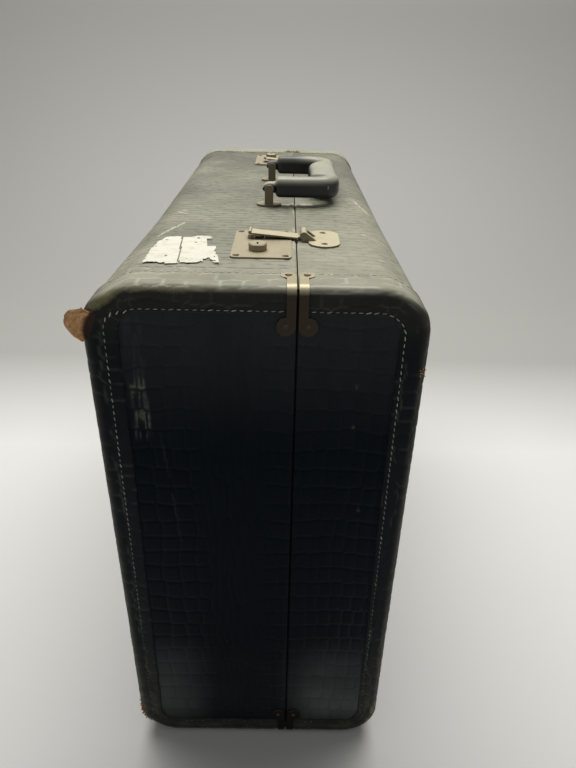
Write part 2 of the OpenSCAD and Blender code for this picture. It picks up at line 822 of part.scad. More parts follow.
side_board(base);  // base_back_board
top_board(base);  // base_top_board
bottom_board(base);  // base_bottom_board
end_board(base);  // base_near_end_board
far() end_board(base);  // base_far_end_board
corner_rail(base, 1);  // base_top_rail
corner_rail(base, 0);  // base_bottom_rail
cover(base);  // base_cover
end_panels(base);  // base_end_panels
binding(base);  // base_near_binding
far() binding(base);  // base_far_binding
rim(base);  // base_rim
lining(base, 0);  // base_lining
base_valance();
clip_set(base);  // base_clips
color(nickel) nails(base);  // base_nails
side_board(lid);  // lid_front_board
top_board(lid);  // lid_top_board
bottom_board(lid);  // lid_bottom_board
end_board(lid);  // lid_near_end_board
far() end_board(lid);  // lid_far_end_board
corner_rail(lid, 1);  // lid_top_rail
corner_rail(lid, 0);  // lid_bottom_rail
cover(lid);  // lid_cover
end_panels(lid);  // lid_end_panels
binding(lid);  // lid_near_binding
far() binding(lid);  // lid_far_binding
rim(lid);  // lid_rim
lining(lid, lid_lining_back);  // lid_lining
clip_set(lid);  // lid_clips
color(nickel) nails(lid);  // lid_nails
lock_plate();  // near_lock_plate
far() lock_plate();  // far_lock_plate
lock_case();  // near_lock_case
far() lock_case();  // far_lock_case
lock_bolt();  // near_lock_bolt
far() lock_bolt();  // far_lock_bolt
lock_knob();  // near_lock_knob
far() lock_knob();  // far_lock_knob
hasp_plate();  // near_hasp_plate
far() hasp_plate();  // far_hasp_plate
hasp_pin();  // near_hasp_pin
far() hasp_pin();  // far_hasp_pin
hasp();  // near_hasp
far() hasp();  // far_hasp
handle_loop();  // near_handle_loop
far() handle_loop();  // far_handle_loop
handle_backing_plates();
handle_core();
handle_leather();
hinge_leaf(base);  // near_hinge_base_leaf
far() hinge_leaf(base);  // far_hinge_base_leaf
hinge_leaf(lid);  // near_hinge_lid_leaf
far() hinge_leaf(lid);  // far_hinge_lid_leaf
hinge_pin();  // near_hinge_pin
far() hinge_pin();  // far_hinge_pin
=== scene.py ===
import math

import bpy
import numpy as np
from mathutils import Matrix, Vector


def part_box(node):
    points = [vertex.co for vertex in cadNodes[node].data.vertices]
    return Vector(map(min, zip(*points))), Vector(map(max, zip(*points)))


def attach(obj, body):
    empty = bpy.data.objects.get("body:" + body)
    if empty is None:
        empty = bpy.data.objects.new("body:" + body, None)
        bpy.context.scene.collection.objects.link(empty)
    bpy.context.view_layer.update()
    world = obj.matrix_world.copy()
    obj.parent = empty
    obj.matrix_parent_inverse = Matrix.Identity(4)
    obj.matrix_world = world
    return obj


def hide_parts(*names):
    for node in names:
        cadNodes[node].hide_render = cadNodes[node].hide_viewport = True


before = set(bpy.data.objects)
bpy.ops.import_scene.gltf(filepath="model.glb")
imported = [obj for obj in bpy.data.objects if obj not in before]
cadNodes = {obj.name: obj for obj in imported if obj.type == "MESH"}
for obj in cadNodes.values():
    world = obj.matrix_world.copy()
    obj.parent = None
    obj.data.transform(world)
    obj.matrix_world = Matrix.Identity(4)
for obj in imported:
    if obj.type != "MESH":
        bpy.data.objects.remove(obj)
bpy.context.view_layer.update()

scene = bpy.context.scene
mm = 0.001


# Small helpers

def hexToLinear(code):
    channels = [int(code[i:i + 2], 16) / 255 for i in (1, 3, 5)]
    linear = [c / 12.92 if c <= 0.04045 else ((c + 0.055) / 1.055) ** 2.4 for c in channels]
    return (*linear, 1.0)


def addNode(tree, kind, inputs=None, **settings):
    node = tree.nodes.new("ShaderNode" + kind)
    for name, value in settings.items():
        setattr(node, name, value)
    for key, value in (inputs or {}).items():
        if isinstance(value, bpy.types.NodeSocket):
            tree.links.new(value, node.inputs[key])
        else:
            node.inputs[key].default_value = value
    return node


def newMaterial(name):
    material = bpy.data.materials.new(name)
    material.use_nodes = True
    tree = material.node_tree
    return material, tree, tree.nodes["Principled BSDF"]


def smoothStep(low, high, x):
    t = np.clip((x - low) / (high - low), 0, 1)
    return t * t * (3 - 2 * t)


def cellHash(i, j, seed):
    n = (i.astype(np.int64) * 374761393 + j.astype(np.int64) * 668265263 + seed * 1442695041) & 0x7FFFFFFF
    n = ((n ^ (n >> 13)) * 1274126177) & 0x7FFFFFFF
    return ((n ^ (n >> 16)) & 0xFFFF) / 65535.0


def valueNoise(u, v, size, seed):
    x = u / size
    y = v / size
    i = np.floor(x)
    j = np.floor(y)
    fx = smoothStep(0, 1, x - i)
    fy = smoothStep(0, 1, y - j)
    low = cellHash(i, j, seed) * (1 - fx) + cellHash(i + 1, j, seed) * fx
    high = cellHash(i, j + 1, seed) * (1 - fx) + cellHash(i + 1, j + 1, seed) * fx
    return low * (1 - fy) + high * fy


def layeredNoise(u, v, size, seed, layers=3):
    total = 0
    weight = 0
    for k in range(layers):
        total = total + valueNoise(u, v, size / 2 ** k, seed + 17 * k) / 2 ** k
        weight += 1 / 2 ** k
    return total / weight


# Embossed scales: jittered bricks, their borders pressed in. Gives crown height, border depth and cell tone.
def scaleGrain(u, v, cellU, cellV, seed, jitter=0.42, border=0.13, sameRow=0.6, brick=0.5, warp=1.0):
    warpU = (valueNoise(u, v, 3.1 * cellU, seed + 5) - 0.5) * 0.9 * cellU * warp
    warpV = (valueNoise(u, v, 3.7 * cellU, seed + 6) - 0.5) * 0.8 * cellV * warp
    x = (u + warpU) / cellU
    y = (v + warpV) / cellV
    j0 = np.floor(y)
    first = np.full(x.shape, 9.0)
    second = np.full(x.shape, 9.0)
    firstRow = np.zeros(x.shape)
    secondRow = np.zeros(x.shape)
    tone = np.zeros(x.shape)
    for dj in (-1, 0, 1):
        j = j0 + dj
        shift = brick * (np.mod(j, 2) + 0.7 * cellHash(j, j * 0, seed + 9))
        i0 = np.floor(x - shift)
        for di in (-1, 0, 1):
            i = i0 + di
            cx = i + 0.5 + shift + (cellHash(i, j, seed) - 0.5) * jitter
            cy = j + 0.5 + (cellHash(i, j, seed + 1) - 0.5) * jitter * 0.5
            d = (np.abs(x - cx) ** 4 + np.abs((y - cy) * 1.02) ** 4) ** 0.25
            nearer = d < first
            runnerUp = ~nearer & (d < second)
            secondRow = np.where(nearer, firstRow, np.where(runnerUp, j, secondRow))
            second = np.where(nearer, first, np.where(runnerUp, d, second))
            firstRow = np.where(nearer, j, firstRow)
            tone = np.where(nearer, cellHash(i, j, seed + 3), tone)
            first = np.where(nearer, d, first)
    groove = 1 - smoothStep(0.02, border, second - first)
    groove = groove * np.where(firstRow == secondRow, sameRow, 1.0)
    crown = np.clip(1 - (first * 1.7) ** 2, 0, 1)
    return crown, groove, tone


def meshPiece(name, verts, faces, material, body, nodes=(), marks=None, smooth=True):
    mesh = bpy.data.meshes.new(name)
    mesh.from_pydata((np.asarray(verts) * mm).tolist(), [], faces)
    for mark, values in (marks or {}).items():
        layer = mesh.attributes.new(mark, "FLOAT", "POINT")
        layer.data.foreach_set("value", np.asarray(values, np.float32))
    mesh.materials.append(material)
    if smooth:
        mesh.shade_smooth()
    else:
        mesh.shade_flat()
    piece = bpy.data.objects.new(name, mesh)
    scene.collection.objects.link(piece)
    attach(piece, body)
    if nodes:
        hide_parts(*nodes)
    return piece


# A grid of outer points closed by a coarse grid behind. A well is an opening right through:
# its first and last row, first and last column, and the column behind it.
def closedSheet(outer, back, flip=False, wells=()):
    rows, cols = outer.shape[:2]
    ends = back.shape[1]
    verts = np.concatenate([outer.reshape(-1, 3), back.reshape(-1, 3)])
    grid = np.arange(rows * cols).reshape(rows, cols)
    rear = rows * cols + np.arange(rows * ends).reshape(rows, ends)
    front = np.ones((rows - 1, cols - 1), bool)
    behind = np.ones((rows - 1, ends - 1), bool)
    for r0, r1, c0, c1, b in wells:
        front[r0:r1, c0:c1] = False
        behind[r0:r1, b] = False
    faces = np.stack([grid[:-1, :-1], grid[1:, :-1], grid[1:, 1:], grid[:-1, 1:]], -1)[front].tolist()
    faces += np.stack([rear[:-1, :-1], rear[:-1, 1:], rear[1:, 1:], rear[1:, :-1]], -1)[behind].tolist()
    faces += np.stack([grid[:-1, 0], rear[:-1, 0], rear[1:, 0], grid[1:, 0]], -1).tolist()
    faces += np.stack([grid[:-1, -1], grid[1:, -1], rear[1:, -1], rear[:-1, -1]], -1).tolist()
    faces.append(grid[0].tolist() + rear[0][::-1].tolist())
    faces.append(grid[-1][::-1].tolist() + rear[-1].tolist())
    for r0, r1, c0, c1, b in wells:
        faces.append(grid[r0, c0:c1 + 1][::-1].tolist() + rear[r0, b:b + 2].tolist())
        faces.append(grid[r1, c0:c1 + 1].tolist() + rear[r1, b:b + 2][::-1].tolist())
        here, there = slice(r0, r1), slice(r0 + 1, r1 + 1)
        left, right = rear[:, b], rear[:, b + 1]
        faces += np.stack([grid[here, c0], grid[there, c0], left[there], left[here]], -1).tolist()
        faces += np.stack([grid[here, c1], right[here], right[there], grid[there, c1]], -1).tolist()
    if flip:
        faces = [f[::-1] for f in faces]
    return verts, faces


# Leaves out the points that no face uses
def dropLoose(verts, faces, marks):
    used = np.unique(np.concatenate(faces))
    order = np.zeros(len(verts), int)
    order[used] = np.arange(len(used))
    return verts[used], [order[f].tolist() for f in faces], {k: v[used] for k, v in marks.items()}


# Two grids of the same size, joined round their border
def closedSlab(front, back, flip=False):
    rows, cols = front.shape[:2]
    grid = np.arange(rows * cols).reshape(rows, cols)
    quads = np.stack([grid[:-1, :-1], grid[1:, :-1], grid[1:, 1:], grid[:-1, 1:]], -1).reshape(-1, 4)
    border = np.concatenate([grid[:-1, 0], grid[-1, :-1], grid[:0:-1, -1], grid[0, :0:-1]])
    after = np.roll(border, -1)
    shift = rows * cols
    faces = quads.tolist() + (quads[:, ::-1] + shift).tolist()
    faces += np.stack([after, border, border + shift, after + shift], -1).tolist()
    if flip:
        faces = [f[::-1] for f in faces]
    return np.concatenate([front.reshape(-1, 3), back.reshape(-1, 3)]), faces


def joinMeshes(meshes):
    verts, faces = [], []
    count = 0
    for v, f in meshes:
        faces += [[k + count for k in face] for face in f]
        verts.append(v)
        count += len(v)
    return np.concatenate(verts), faces


# A closed loop of section points carried along a path, with flat caps
def closedTube(rings, flip=False):
    count, size = rings.shape[:2]
    grid = np.arange(count * size).reshape(count, size)
    after = np.roll(grid, -1, axis=1)
    faces = np.stack([grid[:-1], after[:-1], after[1:], grid[1:]], -1).reshape(-1, 4).tolist()
    faces.append(grid[0][::-1].tolist())
    faces.append(grid[-1].tolist())
    if flip:
        faces = [f[::-1] for f in faces]
    return rings.reshape(-1, 3), faces


print("helpers ready")


# Sizes in millimetres, read from the CAD frame
def spot(node, corner, axis):
    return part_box(node)[corner][axis] / mm


halfL = spot("base_far_binding", 1, 1)
tall = spot("base_near_binding", 1, 2)
baseOut = spot("base_near_binding", 0, 0)
lidOut = spot("lid_near_binding", 1, 0)
baseSeam = spot("base_near_binding", 1, 0)
lidSeam = spot("lid_near_binding", 0, 0)
seamX = (baseSeam + lidSeam) / 2
coverTop = spot("base_cover", 1, 2)
coverEnd = spot("base_cover", 1, 1)
panelIn = spot("base_end_panels", 0, 2)
panelFace = -spot("base_end_panels", 0, 1)
cornerR = 34
edgeR = 7
bandWrap = halfL - coverEnd
bandEnd = panelIn
proud = tall - coverTop
print("case", round(lidOut - baseOut), round(2 * halfL), round(tall), "seam", round(seamX, 1))


# Dark pressed leather: near black out of the light, chalky grey where dust and rubbing bleached it and where
# sheen and highlights are painted in
def leatherMaterial(name, look):
    material, tree, shader = newMaterial(name)
    place = addNode(tree, "TexCoord").outputs["Object"]
    kinds = ("groove", "tone", "dust", "wear", "chalkAndHighlight")
    marks = {m: addNode(tree, "Attribute", attribute_name=m).outputs["Fac"] for m in kinds}
    blotch = addNode(tree, "TexNoise", {"Vector": place, "Scale": 1 / (38 * mm), "Detail": 5,
                                        "Roughness": 0.62})
    fibre = addNode(tree, "TexNoise", {"Vector": place, "Scale": 1 / (1.6 * mm), "Detail": 4,
                                       "Roughness": 0.7})
    body = addNode(tree, "Mix", {0: blotch.outputs["Fac"], 6: hexToLinear(look["dark"]),
                                 7: hexToLinear(look["body"])}, data_type="RGBA")
    # the dust colours also serve as a painted sheen on faces turned to the light
    dustAndSheenColour = addNode(tree, "Mix", {0: fibre.outputs["Fac"], 6: hexToLinear(look["dust"]),
                                     7: hexToLinear(look["dustAndSheenPale"])}, data_type="RGBA")
    uneven = addNode(tree, "MapRange", {0: blotch.outputs["Fac"], 1: 0.3, 2: 0.7, 3: 0.8, 4: 1.0})
    cells = addNode(tree, "MapRange", {0: marks["tone"], 3: 0.88, 4: 1.0})
    patchy = addNode(tree, "Math", {0: uneven.outputs[0], 1: cells.outputs[0]}, operation="MULTIPLY")
    dustAndSheenAmount = addNode(tree, "Math", {0: marks["dust"], 1: patchy.outputs[0]}, operation="MULTIPLY")
    withDustAndSheen = addNode(tree, "Mix", {0: dustAndSheenAmount.outputs[0], 6: body.outputs[2], 7: dustAndSheenColour.outputs[2]},
                    data_type="RGBA")
    sunk = addNode(tree, "Math", {0: marks["groove"], 1: look["grooveDark"]}, operation="MULTIPLY")
    grooved = addNode(tree, "Mix", {0: sunk.outputs[0], 6: withDustAndSheen.outputs[2], 7: hexToLinear(look["groove"])},
                      data_type="RGBA")
    ragged = addNode(tree, "Math", {0: marks["wear"], 1: fibre.outputs["Fac"]}, operation="MULTIPLY")
    rubbed = addNode(tree, "MapRange", {0: ragged.outputs[0], 1: 0.2, 2: 0.42})
    hide = addNode(tree, "Mix", {0: blotch.outputs["Fac"], 6: hexToLinear(look["wear"]),
                                 7: hexToLinear(look["wearPale"])}, data_type="RGBA")
    worn = addNode(tree, "Mix", {0: rubbed.outputs[0], 6: grooved.outputs[2], 7: hide.outputs[2]},
                   data_type="RGBA")
    # the chalk mark also carries painted highlights along the bindings' bends
    withChalkAndHighlight = addNode(tree, "Mix", {0: marks["chalkAndHighlight"], 6: worn.outputs[2], 7: hexToLinear(look["chalkAndHighlight"])},
                      data_type="RGBA")
    gloss = addNode(tree, "MapRange", {0: fibre.outputs["Fac"], 3: look["rough"] - 0.08,
                                       4: look["rough"] + 0.12})
    dull = addNode(tree, "Mix", {0: rubbed.outputs[0], 2: gloss.outputs[0], 3: 0.85})
    pores = addNode(tree, "Bump", {"Strength": look["pores"], "Distance": 0.25 * mm,
                                   "Height": fibre.outputs["Fac"]})
    tree.links.new(withChalkAndHighlight.outputs[2], shader.inputs["Base Color"])
    tree.links.new(dull.outputs[0], shader.inputs["Roughness"])
    tree.links.new(pores.outputs["Normal"], shader.inputs["Normal"])
    shader.inputs["Specular IOR Level"].default_value = look["shine"]
    shader.inputs["Specular Tint"].default_value = hexToLinear(look["tint"])
    return material


grainLook = {"dark": "#05080b", "body": "#0d1215", "dust": "#9c9a83", "dustAndSheenPale": "#b9b6a0",
             "groove": "#26271f", "grooveDark": 0.8, "wear": "#b3ad94", "wearPale": "#dcd8c6",
             "chalkAndHighlight": "#d3d0be", "rough": 0.45, "pores": 0.35, "shine": 0.22, "tint": "#ffffff"}
bandLook = dict(grainLook, dark="#04070b", body="#0a0f14", groove="#191c1d", grooveDark=0.5, wear="#6b6344",
                wearPale="#8b8562", rough=0.42, pores=0.45, shine=0.12, tint="#a5b9d2")
panelLook = dict(grainLook, dark="#03060b", body="#090f16", groove="#39444a", grooveDark=0.4, rough=0.42,
                 shine=0.085, tint="#8fa9c6", dust="#555a59", dustAndSheenPale="#737775", wear="#45443b",
                 wearPale="#7b7869")
gripLook = dict(grainLook, dark="#0e1114", body="#171b1e", groove="#0d0f11", dust="#a9a894",
                dustAndSheenPale="#c6c4b0", wear="#9a8d5a", wearPale="#bdb183", rough=0.32, pores=0.2, shine=0.4)
rimLook = dict(grainLook, dark="#2a221a", body="#3b3025", groove="#1e1812", rough=0.6)
grainLeather = leatherMaterial("grained leather", grainLook)
panelLeather = leatherMaterial("unfaded grained leather", panelLook)
bandLeather = leatherMaterial("binding leather", bandLook)
gripLeather = leatherMaterial("handle leather", gripLook)
rimLeather = leatherMaterial("rim leather", rimLook)


# Waxed linen thread: cream, darkened by dirt and by painted shade on the end faces, its twist drawn 2 mm long
# so that it shows
def threadMaterial(name):
    material, tree, shader = newMaterial(name)
    place = addNode(tree, "TexCoord").outputs["Object"]
    dirt = addNode(tree, "TexNoise", {"Vector": place, "Scale": 1 / (22 * mm), "Detail": 4})
    strands = addNode(tree, "TexWave", {"Vector": place, "Scale": 1 / (7 * mm), "Distortion": 2, "Detail": 2})
    clean = addNode(tree, "MapRange", {0: dirt.outputs["Fac"], 1: 0.3, 2: 0.55})
    colour = addNode(tree, "Mix", {0: clean.outputs[0], 6: hexToLinear("#a8a598"), 7: hexToLinear("#e6e3d7")},
                     data_type="RGBA")
    dirtAndShade = addNode(tree, "Attribute", attribute_name="dirt").outputs["Fac"]
    colour = addNode(tree, "Mix", {0: dirtAndShade, 6: colour.outputs[2], 7: hexToLinear("#24221e")},
                     data_type="RGBA")
    twist = addNode(tree, "Bump", {"Strength": 0.4, "Distance": 0.2 * mm, "Height": strands.outputs["Fac"]})
    tree.links.new(colour.outputs[2], shader.inputs["Base Color"])
    tree.links.new(twist.outputs["Normal"], shader.inputs["Normal"])
    shader.inputs["Roughness"].default_value = 0.85
    return material


# Metal fittings: pale tarnished plate, browned in patches, painted shade on the faces that turn from the top,
# finely pitted
def metalMaterial(name, look):
    material, tree, shader = newMaterial(name)
    place = addNode(tree, "TexCoord").outputs["Object"]
    stain = addNode(tree, "TexNoise", {"Vector": place, "Scale": 1 / (look["patch"] * mm), "Detail": 6,
                                       "Roughness": 0.65})
    speck = addNode(tree, "TexNoise", {"Vector": place, "Scale": 1 / (1.4 * mm), "Detail": 3})
    spread = addNode(tree, "MapRange", {0: stain.outputs["Fac"], 1: look["from"], 2: look["to"]})
    plate = addNode(tree, "Mix", {0: speck.outputs["Fac"], 6: hexToLinear(look["metal"]),
                                  7: hexToLinear(look["bright"])}, data_type="RGBA")
    upward = addNode(tree, "SeparateXYZ", {0: addNode(tree, "TexCoord").outputs["Normal"]})
    # painted shade on the sides: faces that do not point up are drawn towards the stain colour
    sideShade = addNode(tree, "MapRange", {0: upward.outputs["Z"], 1: 0.2, 2: 0.85, 3: look["sideShade"], 4: 0.0})
    stainAndSideShade = addNode(tree, "Math", {0: spread.outputs[0], 1: sideShade.outputs[0]}, operation="MAXIMUM")
    colour = addNode(tree, "Mix", {0: stainAndSideShade.outputs[0], 6: plate.outputs[2], 7: hexToLinear(look["stain"])},
                     data_type="RGBA")
    height = addNode(tree, "SeparateXYZ", {0: place}).outputs["Z"]
    foot = addNode(tree, "MapRange", {0: height, 1: 90 * mm, 2: 20 * mm, 4: look["foot"]})
    colour = addNode(tree, "Mix", {0: foot.outputs[0], 6: colour.outputs[2], 7: hexToLinear("#0b0907")},
                     data_type="RGBA")
    gloss = addNode(tree, "MapRange", {0: stain.outputs["Fac"], 3: look["rough"] - 0.1,
                                       4: look["rough"] + 0.15})
    pits = addNode(tree, "Bump", {"Strength": 0.25, "Distance": 0.15 * mm, "Height": speck.outputs["Fac"]})
    tree.links.new(colour.outputs[2], shader.inputs["Base Color"])
    tree.links.new(gloss.outputs[0], shader.inputs["Roughness"])
    tree.links.new(pits.outputs["Normal"], shader.inputs["Normal"])
    shader.inputs["Metallic"].default_value = look["metallic"]
    shader.inputs["Specular IOR Level"].default_value = look["shine"]
    return material


nickelLook = {"metal": "#9f9478", "bright": "#c0b597", "stain": "#282019", "patch": 13, "from": 0.6,
              "to": 0.95, "rough": 0.42, "metallic": 0.6, "sideShade": 0.5, "shine": 0.5, "foot": 0}
steelLook = {"metal": "#77746e", "bright": "#8f8c86", "stain": "#4f3f31", "patch": 14, "from": 0.55,
             "to": 0.8, "rough": 0.5, "metallic": 0.9, "sideShade": 0.1, "shine": 0.5, "foot": 0}
nailLook = dict(nickelLook, metal="#3d3324", bright="#5c4e36", stain="#1d1710", rough=0.5)
linenThread = threadMaterial("linen thread")
nickelPlate = metalMaterial("tarnished nickel", nickelLook)
# loops and clips carry more painted side shade; the clips also go darker towards the bottom
loopPlate = metalMaterial("loop nickel with painted side shade", dict(nickelLook, sideShade=0.72))
haspPlate = metalMaterial("rubbed nickel", dict(nickelLook, metal="#b9ae8f", bright="#d9cfaf", sideShade=0.7))
clipPlate = metalMaterial("clip nickel with painted side shade", dict(nickelLook, sideShade=0.95, shine=0.15, foot=0.85))
dullSteel = metalMaterial("dull steel", steelLook)
nailBrass = metalMaterial("dark nail brass", nailLook)


# Raw plywood: pale tan with long streaks of darker grain
def woodMaterial(name):
    material, tree, shader = newMaterial(name)
    place = addNode(tree, "TexCoord").outputs["Object"]
    streaks = (1 / (6 * mm), 1 / (160 * mm), 1 / (6 * mm))
    stretched = addNode(tree, "Mapping", {"Vector": place, "Scale": streaks})
    grain = addNode(tree, "TexNoise", {"Vector": stretched.outputs["Vector"], "Scale": 1, "Detail": 6,
                                       "Roughness": 0.6})
    colour = addNode(tree, "Mix", {0: grain.outputs["Fac"], 6: hexToLinear("#8f6a41"),
                                   7: hexToLinear("#c7a271")}, data_type="RGBA")
    ridges = addNode(tree, "Bump", {"Strength": 0.3, "Distance": 0.3 * mm, "Height": grain.outputs["Fac"]})
    tree.links.new(colour.outputs[2], shader.inputs["Base Color"])
    tree.links.new(ridges.outputs["Normal"], shader.inputs["Normal"])
    shader.inputs["Roughness"].default_value = 0.7
    return material


# Woven cotton lining: ochre threads faded in patches, drawn 2.5 to 5 mm apart so that they show
def clothMaterial(name):
    material, tree, shader = newMaterial(name)
    place = addNode(tree, "TexCoord").outputs["Object"]
    fade = addNode(tree, "TexNoise", {"Vector": place, "Scale": 1 / (70 * mm), "Detail": 4})
    thread = {"Vector": place, "Scale": 1 / (8 * mm), "Distortion": 0.6}
    alongY = addNode(tree, "TexWave", thread, bands_direction="Y")
    across = addNode(tree, "TexWave", thread, bands_direction="DIAGONAL")
    weave = addNode(tree, "Math", {0: alongY.outputs["Fac"], 1: across.outputs["Fac"]}, operation="MULTIPLY")
    plain = addNode(tree, "Mix", {0: fade.outputs["Fac"], 6: hexToLinear("#8a774f"),
                                  7: hexToLinear("#b5a378")}, data_type="RGBA")
    colour = addNode(tree, "Mix", {0: weave.outputs[0], 6: plain.outputs[2], 7: hexToLinear("#c9ba90")},
                     data_type="RGBA")
    threads = addNode(tree, "Bump", {"Strength": 0.5, "Distance": 0.3 * mm, "Height": weave.outputs[0]})
    tree.links.new(colour.outputs[2], shader.inputs["Base Color"])
    tree.links.new(threads.outputs["Normal"], shader.inputs["Normal"])
    shader.inputs["Roughness"].default_value = 0.9
    return material


# Old label paper: chalk white, yellowed and grubby in places
def paperMaterial(name):
    material, tree, shader = newMaterial(name)
    place = addNode(tree, "TexCoord").outputs["Object"]
    grub = addNode(tree, "TexNoise", {"Vector": place, "Scale": 1 / (9 * mm), "Detail": 6, "Roughness": 0.7})
    fibres = addNode(tree, "TexNoise", {"Vector": place, "Scale": 1 / (0.7 * mm), "Detail": 3})
    reach = addNode(tree, "MapRange", {0: grub.outputs["Fac"], 1: 0.5, 2: 0.8})
    colour = addNode(tree, "Mix", {0: reach.outputs[0], 6: hexToLinear("#e9e5d3"), 7: hexToLinear("#c2b896")},
                     data_type="RGBA")
    tooth = addNode(tree, "Bump", {"Strength": 0.3, "Distance": 0.1 * mm, "Height": fibres.outputs["Fac"]})
    tree.links.new(colour.outputs[2], shader.inputs["Base Color"])
    tree.links.new(tooth.outputs["Normal"], shader.inputs["Normal"])
    shader.inputs["Roughness"].default_value = 0.88
    return material


# Torn hide: raw orange-brown suede with dark and pale fibres
def suedeMaterial(name):
    material, tree, shader = newMaterial(name)
    place = addNode(tree, "TexCoord").outputs["Object"]
    fuzz = addNode(tree, "TexNoise", {"Vector": place, "Scale": 1 / (2.2 * mm), "Detail": 6,
                                      "Roughness": 0.75})
    shade = addNode(tree, "TexNoise", {"Vector": place, "Scale": 1 / (9 * mm), "Detail": 3})
    mottle = addNode(tree, "MapRange", {0: fuzz.outputs["Fac"], 1: 0.34, 2: 0.6})
    hide = addNode(tree, "Mix", {0: mottle.outputs[0], 6: hexToLinear("#6b3f1a"), 7: hexToLinear("#ffd19c")},
                   data_type="RGBA")
    blend = addNode(tree, "Mix", {0: shade.outputs["Fac"], 6: hide.outputs[2], 7: hexToLinear("#c98f57")},
                    data_type="RGBA")
    dirty = addNode(tree, "Attribute", attribute_name="groove").outputs["Fac"]
    colour = addNode(tree, "Mix", {0: dirty, 6: blend.outputs[2], 7: hexToLinear("#2b140b")},
                     data_type="RGBA")
    nap = addNode(tree, "Bump", {"Strength": 0.8, "Distance": 0.6 * mm, "Height": fuzz.outputs["Fac"]})
    tree.links.new(colour.outputs[2], shader.inputs["Base Color"])
    tree.links.new(nap.outputs["Normal"], shader.inputs["Normal"])
    shader.inputs["Roughness"].default_value = 0.92
    return material


boardWood = woodMaterial("raw plywood")
liningCloth = clothMaterial("woven cotton")
labelPaper = paperMaterial("label paper")
tornHide = suedeMaterial("torn hide")
print("materials ready")


# One half's outline from the seam on top, round both long corners, to the seam below.
# Gives centre points at the corner radius, outward normals and the length walked.
def halfPath(side, step):
    edge = baseSeam if side < 0 else lidSeam
    bend = (baseOut if side < 0 else lidOut) - side * cornerR
    low, high = cornerR, tall - cornerR
    rows = []
    for x in np.linspace(edge, bend, round(abs(bend - edge) / step), endpoint=False):
        rows.append((x, high, 0, 1))
    for a in np.linspace(0, math.pi / 2, round(cornerR * 1.57 / step), endpoint=False):
        rows.append((bend, high, side * math.sin(a), math.cos(a)))
    for z in np.linspace(high, low, round((high - low) / step), endpoint=False):
        rows.append((bend, z, side, 0))
    for a in np.linspace(0, math.pi / 2, round(cornerR * 1.57 / step), endpoint=False):
        rows.append((bend, low, side * math.cos(a), -math.sin(a)))
    for x in np.linspace(bend, edge, round(abs(bend - edge) / step) + 1):
        rows.append((x, low, 0, -1))
    rows = np.array(rows)
    rim = rows[:, :2] + rows[:, 2:] * cornerR
    walked = np.concatenate([[0], np.cumsum(np.linalg.norm(np.diff(rim, axis=0), axis=1))])
    return rows[:, :2], rows[:, 2:], walked


# Keeps points out of the bevel along the bottom of the seam, where the hinges turn
def clearOfBevel(points, side, bevel=3.6):
    away = side * (points[..., 0] - seamX)
    low = np.maximum(abs(baseSeam - seamX), bevel - points[..., 2])
    points[..., 0] = seamX + side * np.maximum(away, low)
    return points


# The near end has sprung outward with age, most at the top of the base
def sprungOut(points, side):
    part = points[..., 2] / tall
    lean = 2.2 + 4.4 * np.clip(part, 0, 1) ** 1.2 if side < 0 else np.maximum(0, 3.8 * part - 1)
    outward = smoothStep(abs(baseOut) - 17, abs(baseOut) - 3, side * points[..., 0])
    nearEnd = 1 - smoothStep(-halfL + 20, -halfL + 250, points[..., 1])
    points[..., 0] += side * lean * outward * nearEnd
    return points


def rolledEdge(distance, radius):
    t = np.clip(1 - distance / radius, 0, 1)
    return radius * (1 - np.sqrt(1 - t * t))


# Straight scratches, each from one point to another with its width
def scratchMask(x, y, lines):
    mask = np.zeros_like(x)
    for (x0, y0), (x1, y1), wide in lines:
        t = np.clip(((x - x0) * (x1 - x0) + (y - y0) * (y1 - y0)) / ((x1 - x0) ** 2 + (y1 - y0) ** 2), 0, 1)
        away = np.hypot(x - x0 - t * (x1 - x0), y - y0 - t * (y1 - y0))
        mask = np.maximum(mask, 1 - smoothStep(wide * 0.5, wide, away))
    return mask


# Leather covers: a sheet of pressed scales round the back, top and bottom of each half
# The cover's scratch list ends with a wide stroke under the handle's near leg, which is a painted highlight
coverSpec = {"step": 1.4, "thick": 1.6, "cellAcross": 19, "cellAlong": 8.5, "groove": 0.5, "crown": 0.22,
             "swell": 0.5, "wellRoom": 1.5,
             "scratchesAndHighlight": [((-88, -182), (-72, -138), 1.6), ((-84, -99), (-75, -105), 1.5),
                           ((-95, -262), (-78, -268), 0.9), ((-62, -262), (-50, -268), 0.8),
                           ((-80, -92), (-74, -97), 1.0), ((86, -40), (97, -78), 1.1),
                           ((82, -24), (89, -44), 0.9), ((8, -61), (40, -60), 5.5)]}


# The openings under the lock plates, through which the hasps' tongues reach the bolts
def lockWells(centre, normal, ys):
    room = coverSpec["wellRoom"]
    flat = np.nonzero(normal[:, 1] > 0.999)[0]
    wells, seams = [], [0]
    for where in ("near", "far"):
        low, high = (np.array(v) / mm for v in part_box(f"{where}_lock_case"))
        rows = flat[(centre[flat, 0] > low[0] - room) & (centre[flat, 0] < high[0] + room)]
        cols = np.nonzero((ys > low[1] - room) & (ys < high[1] + room))[0]
        wells.append((rows[0], rows[-1], cols[0], cols[-1], len(seams)))
        seams += [cols[0], cols[-1]]
    return wells, seams + [-1]


